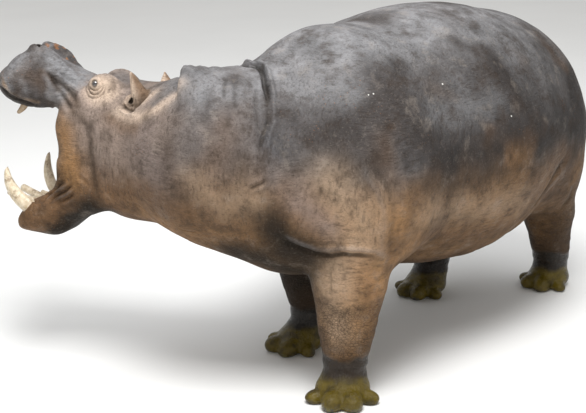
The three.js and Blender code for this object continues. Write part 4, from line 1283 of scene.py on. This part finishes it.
def make_molars():
    """Low double-cusped crowns along both jaws."""
    for name, axes, start, count, down in (
            ("molars_upper", HEAD, (-60, 88, -176), 4, -1), ("molars_lower", JAW, (312, 92, 8), 3, 1)):
        for hand, s in SIDES:
            rows, faces = [], []
            for i in range(count):
                x, y, z = start
                _, quads, ball = globe((0, 0, 0), (1, 1, 1), 20, 28)
                box = np.sign(ball) * np.abs(ball) ** 0.6 * MOLAR_HALF
                cusps = (3.5 * np.cos(box[:, 0] / MOLAR_HALF[0] * 2 * np.pi)
                         * np.cos(box[:, 1] / MOLAR_HALF[1] * np.pi))
                box[:, 2] += down * cusps * (box[:, 2] * down > 4)
                rows.append(axes.out(box + (x + MOLAR_STEP * i, s * y, z)))
                faces.append(quads + i * len(ball))
            points, quads = np.concatenate(rows), np.concatenate(faces)
            piece = mesh_object(f"{name}_{hand}", points, quads, IVORY)
            float_attribute(piece, "Along", np.full(len(piece.data.vertices), 0.3))


def make_nails():
    """A broad blunt nail on the front of each toe."""
    for name, leg in LEGS.items():
        s = leg["size"]
        rows, faces = [], []
        for angle, r, reach in TOES:
            way = heading(leg, angle)
            centre = np.array([*leg["foot"], 0.0]) + s * (reach + r * 0.62) * way
            centre[2] = s * r * 0.46
            across = np.cross((0, 0, 1), way)
            own = Axes(centre, np.stack([way, across, (0, 0, 1)], 1))
            radii = (s * (r * 0.5 + 9), s * r * 0.66, s * r * 0.52)
            points, quads, _ = globe((0, 0, 0), radii, 20, 28, own)
            points[:, 2] = np.maximum(points[:, 2], 0.5)
            rows.append(points)
            faces.append(quads + sum(len(p) for p in rows[:-1]))
        mesh_object(f"nails_{name}", np.concatenate(rows), np.concatenate(faces), NAIL)


FLESH_NODES = (
    ["trunk", "neck", "tail", "head", "cheek_left", "cheek_right", "lower_jaw", "ear_left", "ear_right"]
    + [f"{part}_{name}" for name in LEGS for part in ("leg", "foot")])


def make_skin():
    points, normal, creases, skin, quads = make_skin_mesh()
    piece = mesh_object("skin", skin, quads, hide_material())
    tone, wetness, wrinkled = skin_colours(points, normal, creases)
    colour_attribute(piece, "Tone", tone)
    float_attribute(piece, "Wet", wetness)
    float_attribute(piece, "Wrinkled", wrinkled)
    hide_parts(*FLESH_NODES)


# ---- floor, light and camera
CAMERA_AT = (-5730.6, -3972.8, 2698.3)
CAMERA_TO = (-313, 430, 558)
MIDDLE = (-100, 100, 700)  # where every lamp points
FLOOR_HALF = 40000
SENSOR = 36
FOCAL = 1600 / 586 * SENSOR  # 1600 pixels of the 586 that the photo is wide


def plain_material(name, colour, roughness):
    s = Shader(name)
    cloud = s.noise(0.8, 2)
    shade = s.mix(s.ramp(cloud, 0.3, 0.7), colour, tuple(0.97 * c for c in colour))
    return s.finish(shade, s.ramp(cloud, 0.3, 0.7, roughness, roughness + 0.05), s.bump(cloud, 0.02, 0.001))


def make_floor():
    """A wide pale floor, half a millimetre under the soles."""
    corners = [(x * FLOOR_HALF, y * FLOOR_HALF, -0.5) for x, y in ((-1, -1), (1, -1), (1, 1), (-1, 1))]
    mesh = bpy.data.meshes.new("floor")
    mesh.from_pydata([tuple(to_scene(c)) for c in corners], [], [(0, 1, 2, 3)])
    mesh.materials.append(plain_material("floor", (0.86, 0.86, 0.85), 0.7))
    in_scene("floor", mesh)


def aim(thing, at, to):
    thing.location = Vector(to_scene(at))
    way = Vector(to_scene(to)) - thing.location
    thing.rotation_euler = way.to_track_quat("-Z", "Y").to_euler()


def area_light(name, at, size, power, colour=(1, 1, 1)):
    lamp = bpy.data.lights.new(name, "AREA")
    lamp.energy, lamp.size, lamp.color = power, size, colour
    aim(in_scene(name, lamp), at, MIDDLE)


def make_studio():
    world = bpy.data.worlds.new("studio")
    world.use_nodes = True
    world.node_tree.nodes["Background"].inputs["Color"].default_value = (1.0, 0.99, 0.97, 1)
    world.node_tree.nodes["Background"].inputs["Strength"].default_value = 0.55
    bpy.context.scene.world = world
    area_light("key", (-2600, -1500, 6200), 2.5, 430)
    area_light("sky", (500, 600, 6500), 6.0, 190, (0.93, 0.96, 1.0))
    area_light("front", (-6500, -3000, 2600), 4.0, 30)
    lens = bpy.data.cameras.new("camera")
    lens.sensor_width, lens.lens = SENSOR, FOCAL
    lens.clip_end = 200
    camera = in_scene("camera", lens)
    aim(camera, CAMERA_AT, CAMERA_TO)
    bpy.context.scene.camera = camera
    bpy.context.scene.view_settings.view_transform = "Standard"


IVORY = ivory_material()
EYE_GLOSS = eye_material()
TONGUE = tongue_material()
NAIL = nail_material()
make_skin()
make_teeth()
make_eyes()
make_tongue()
make_molars()
make_nails()
make_floor()
make_studio()
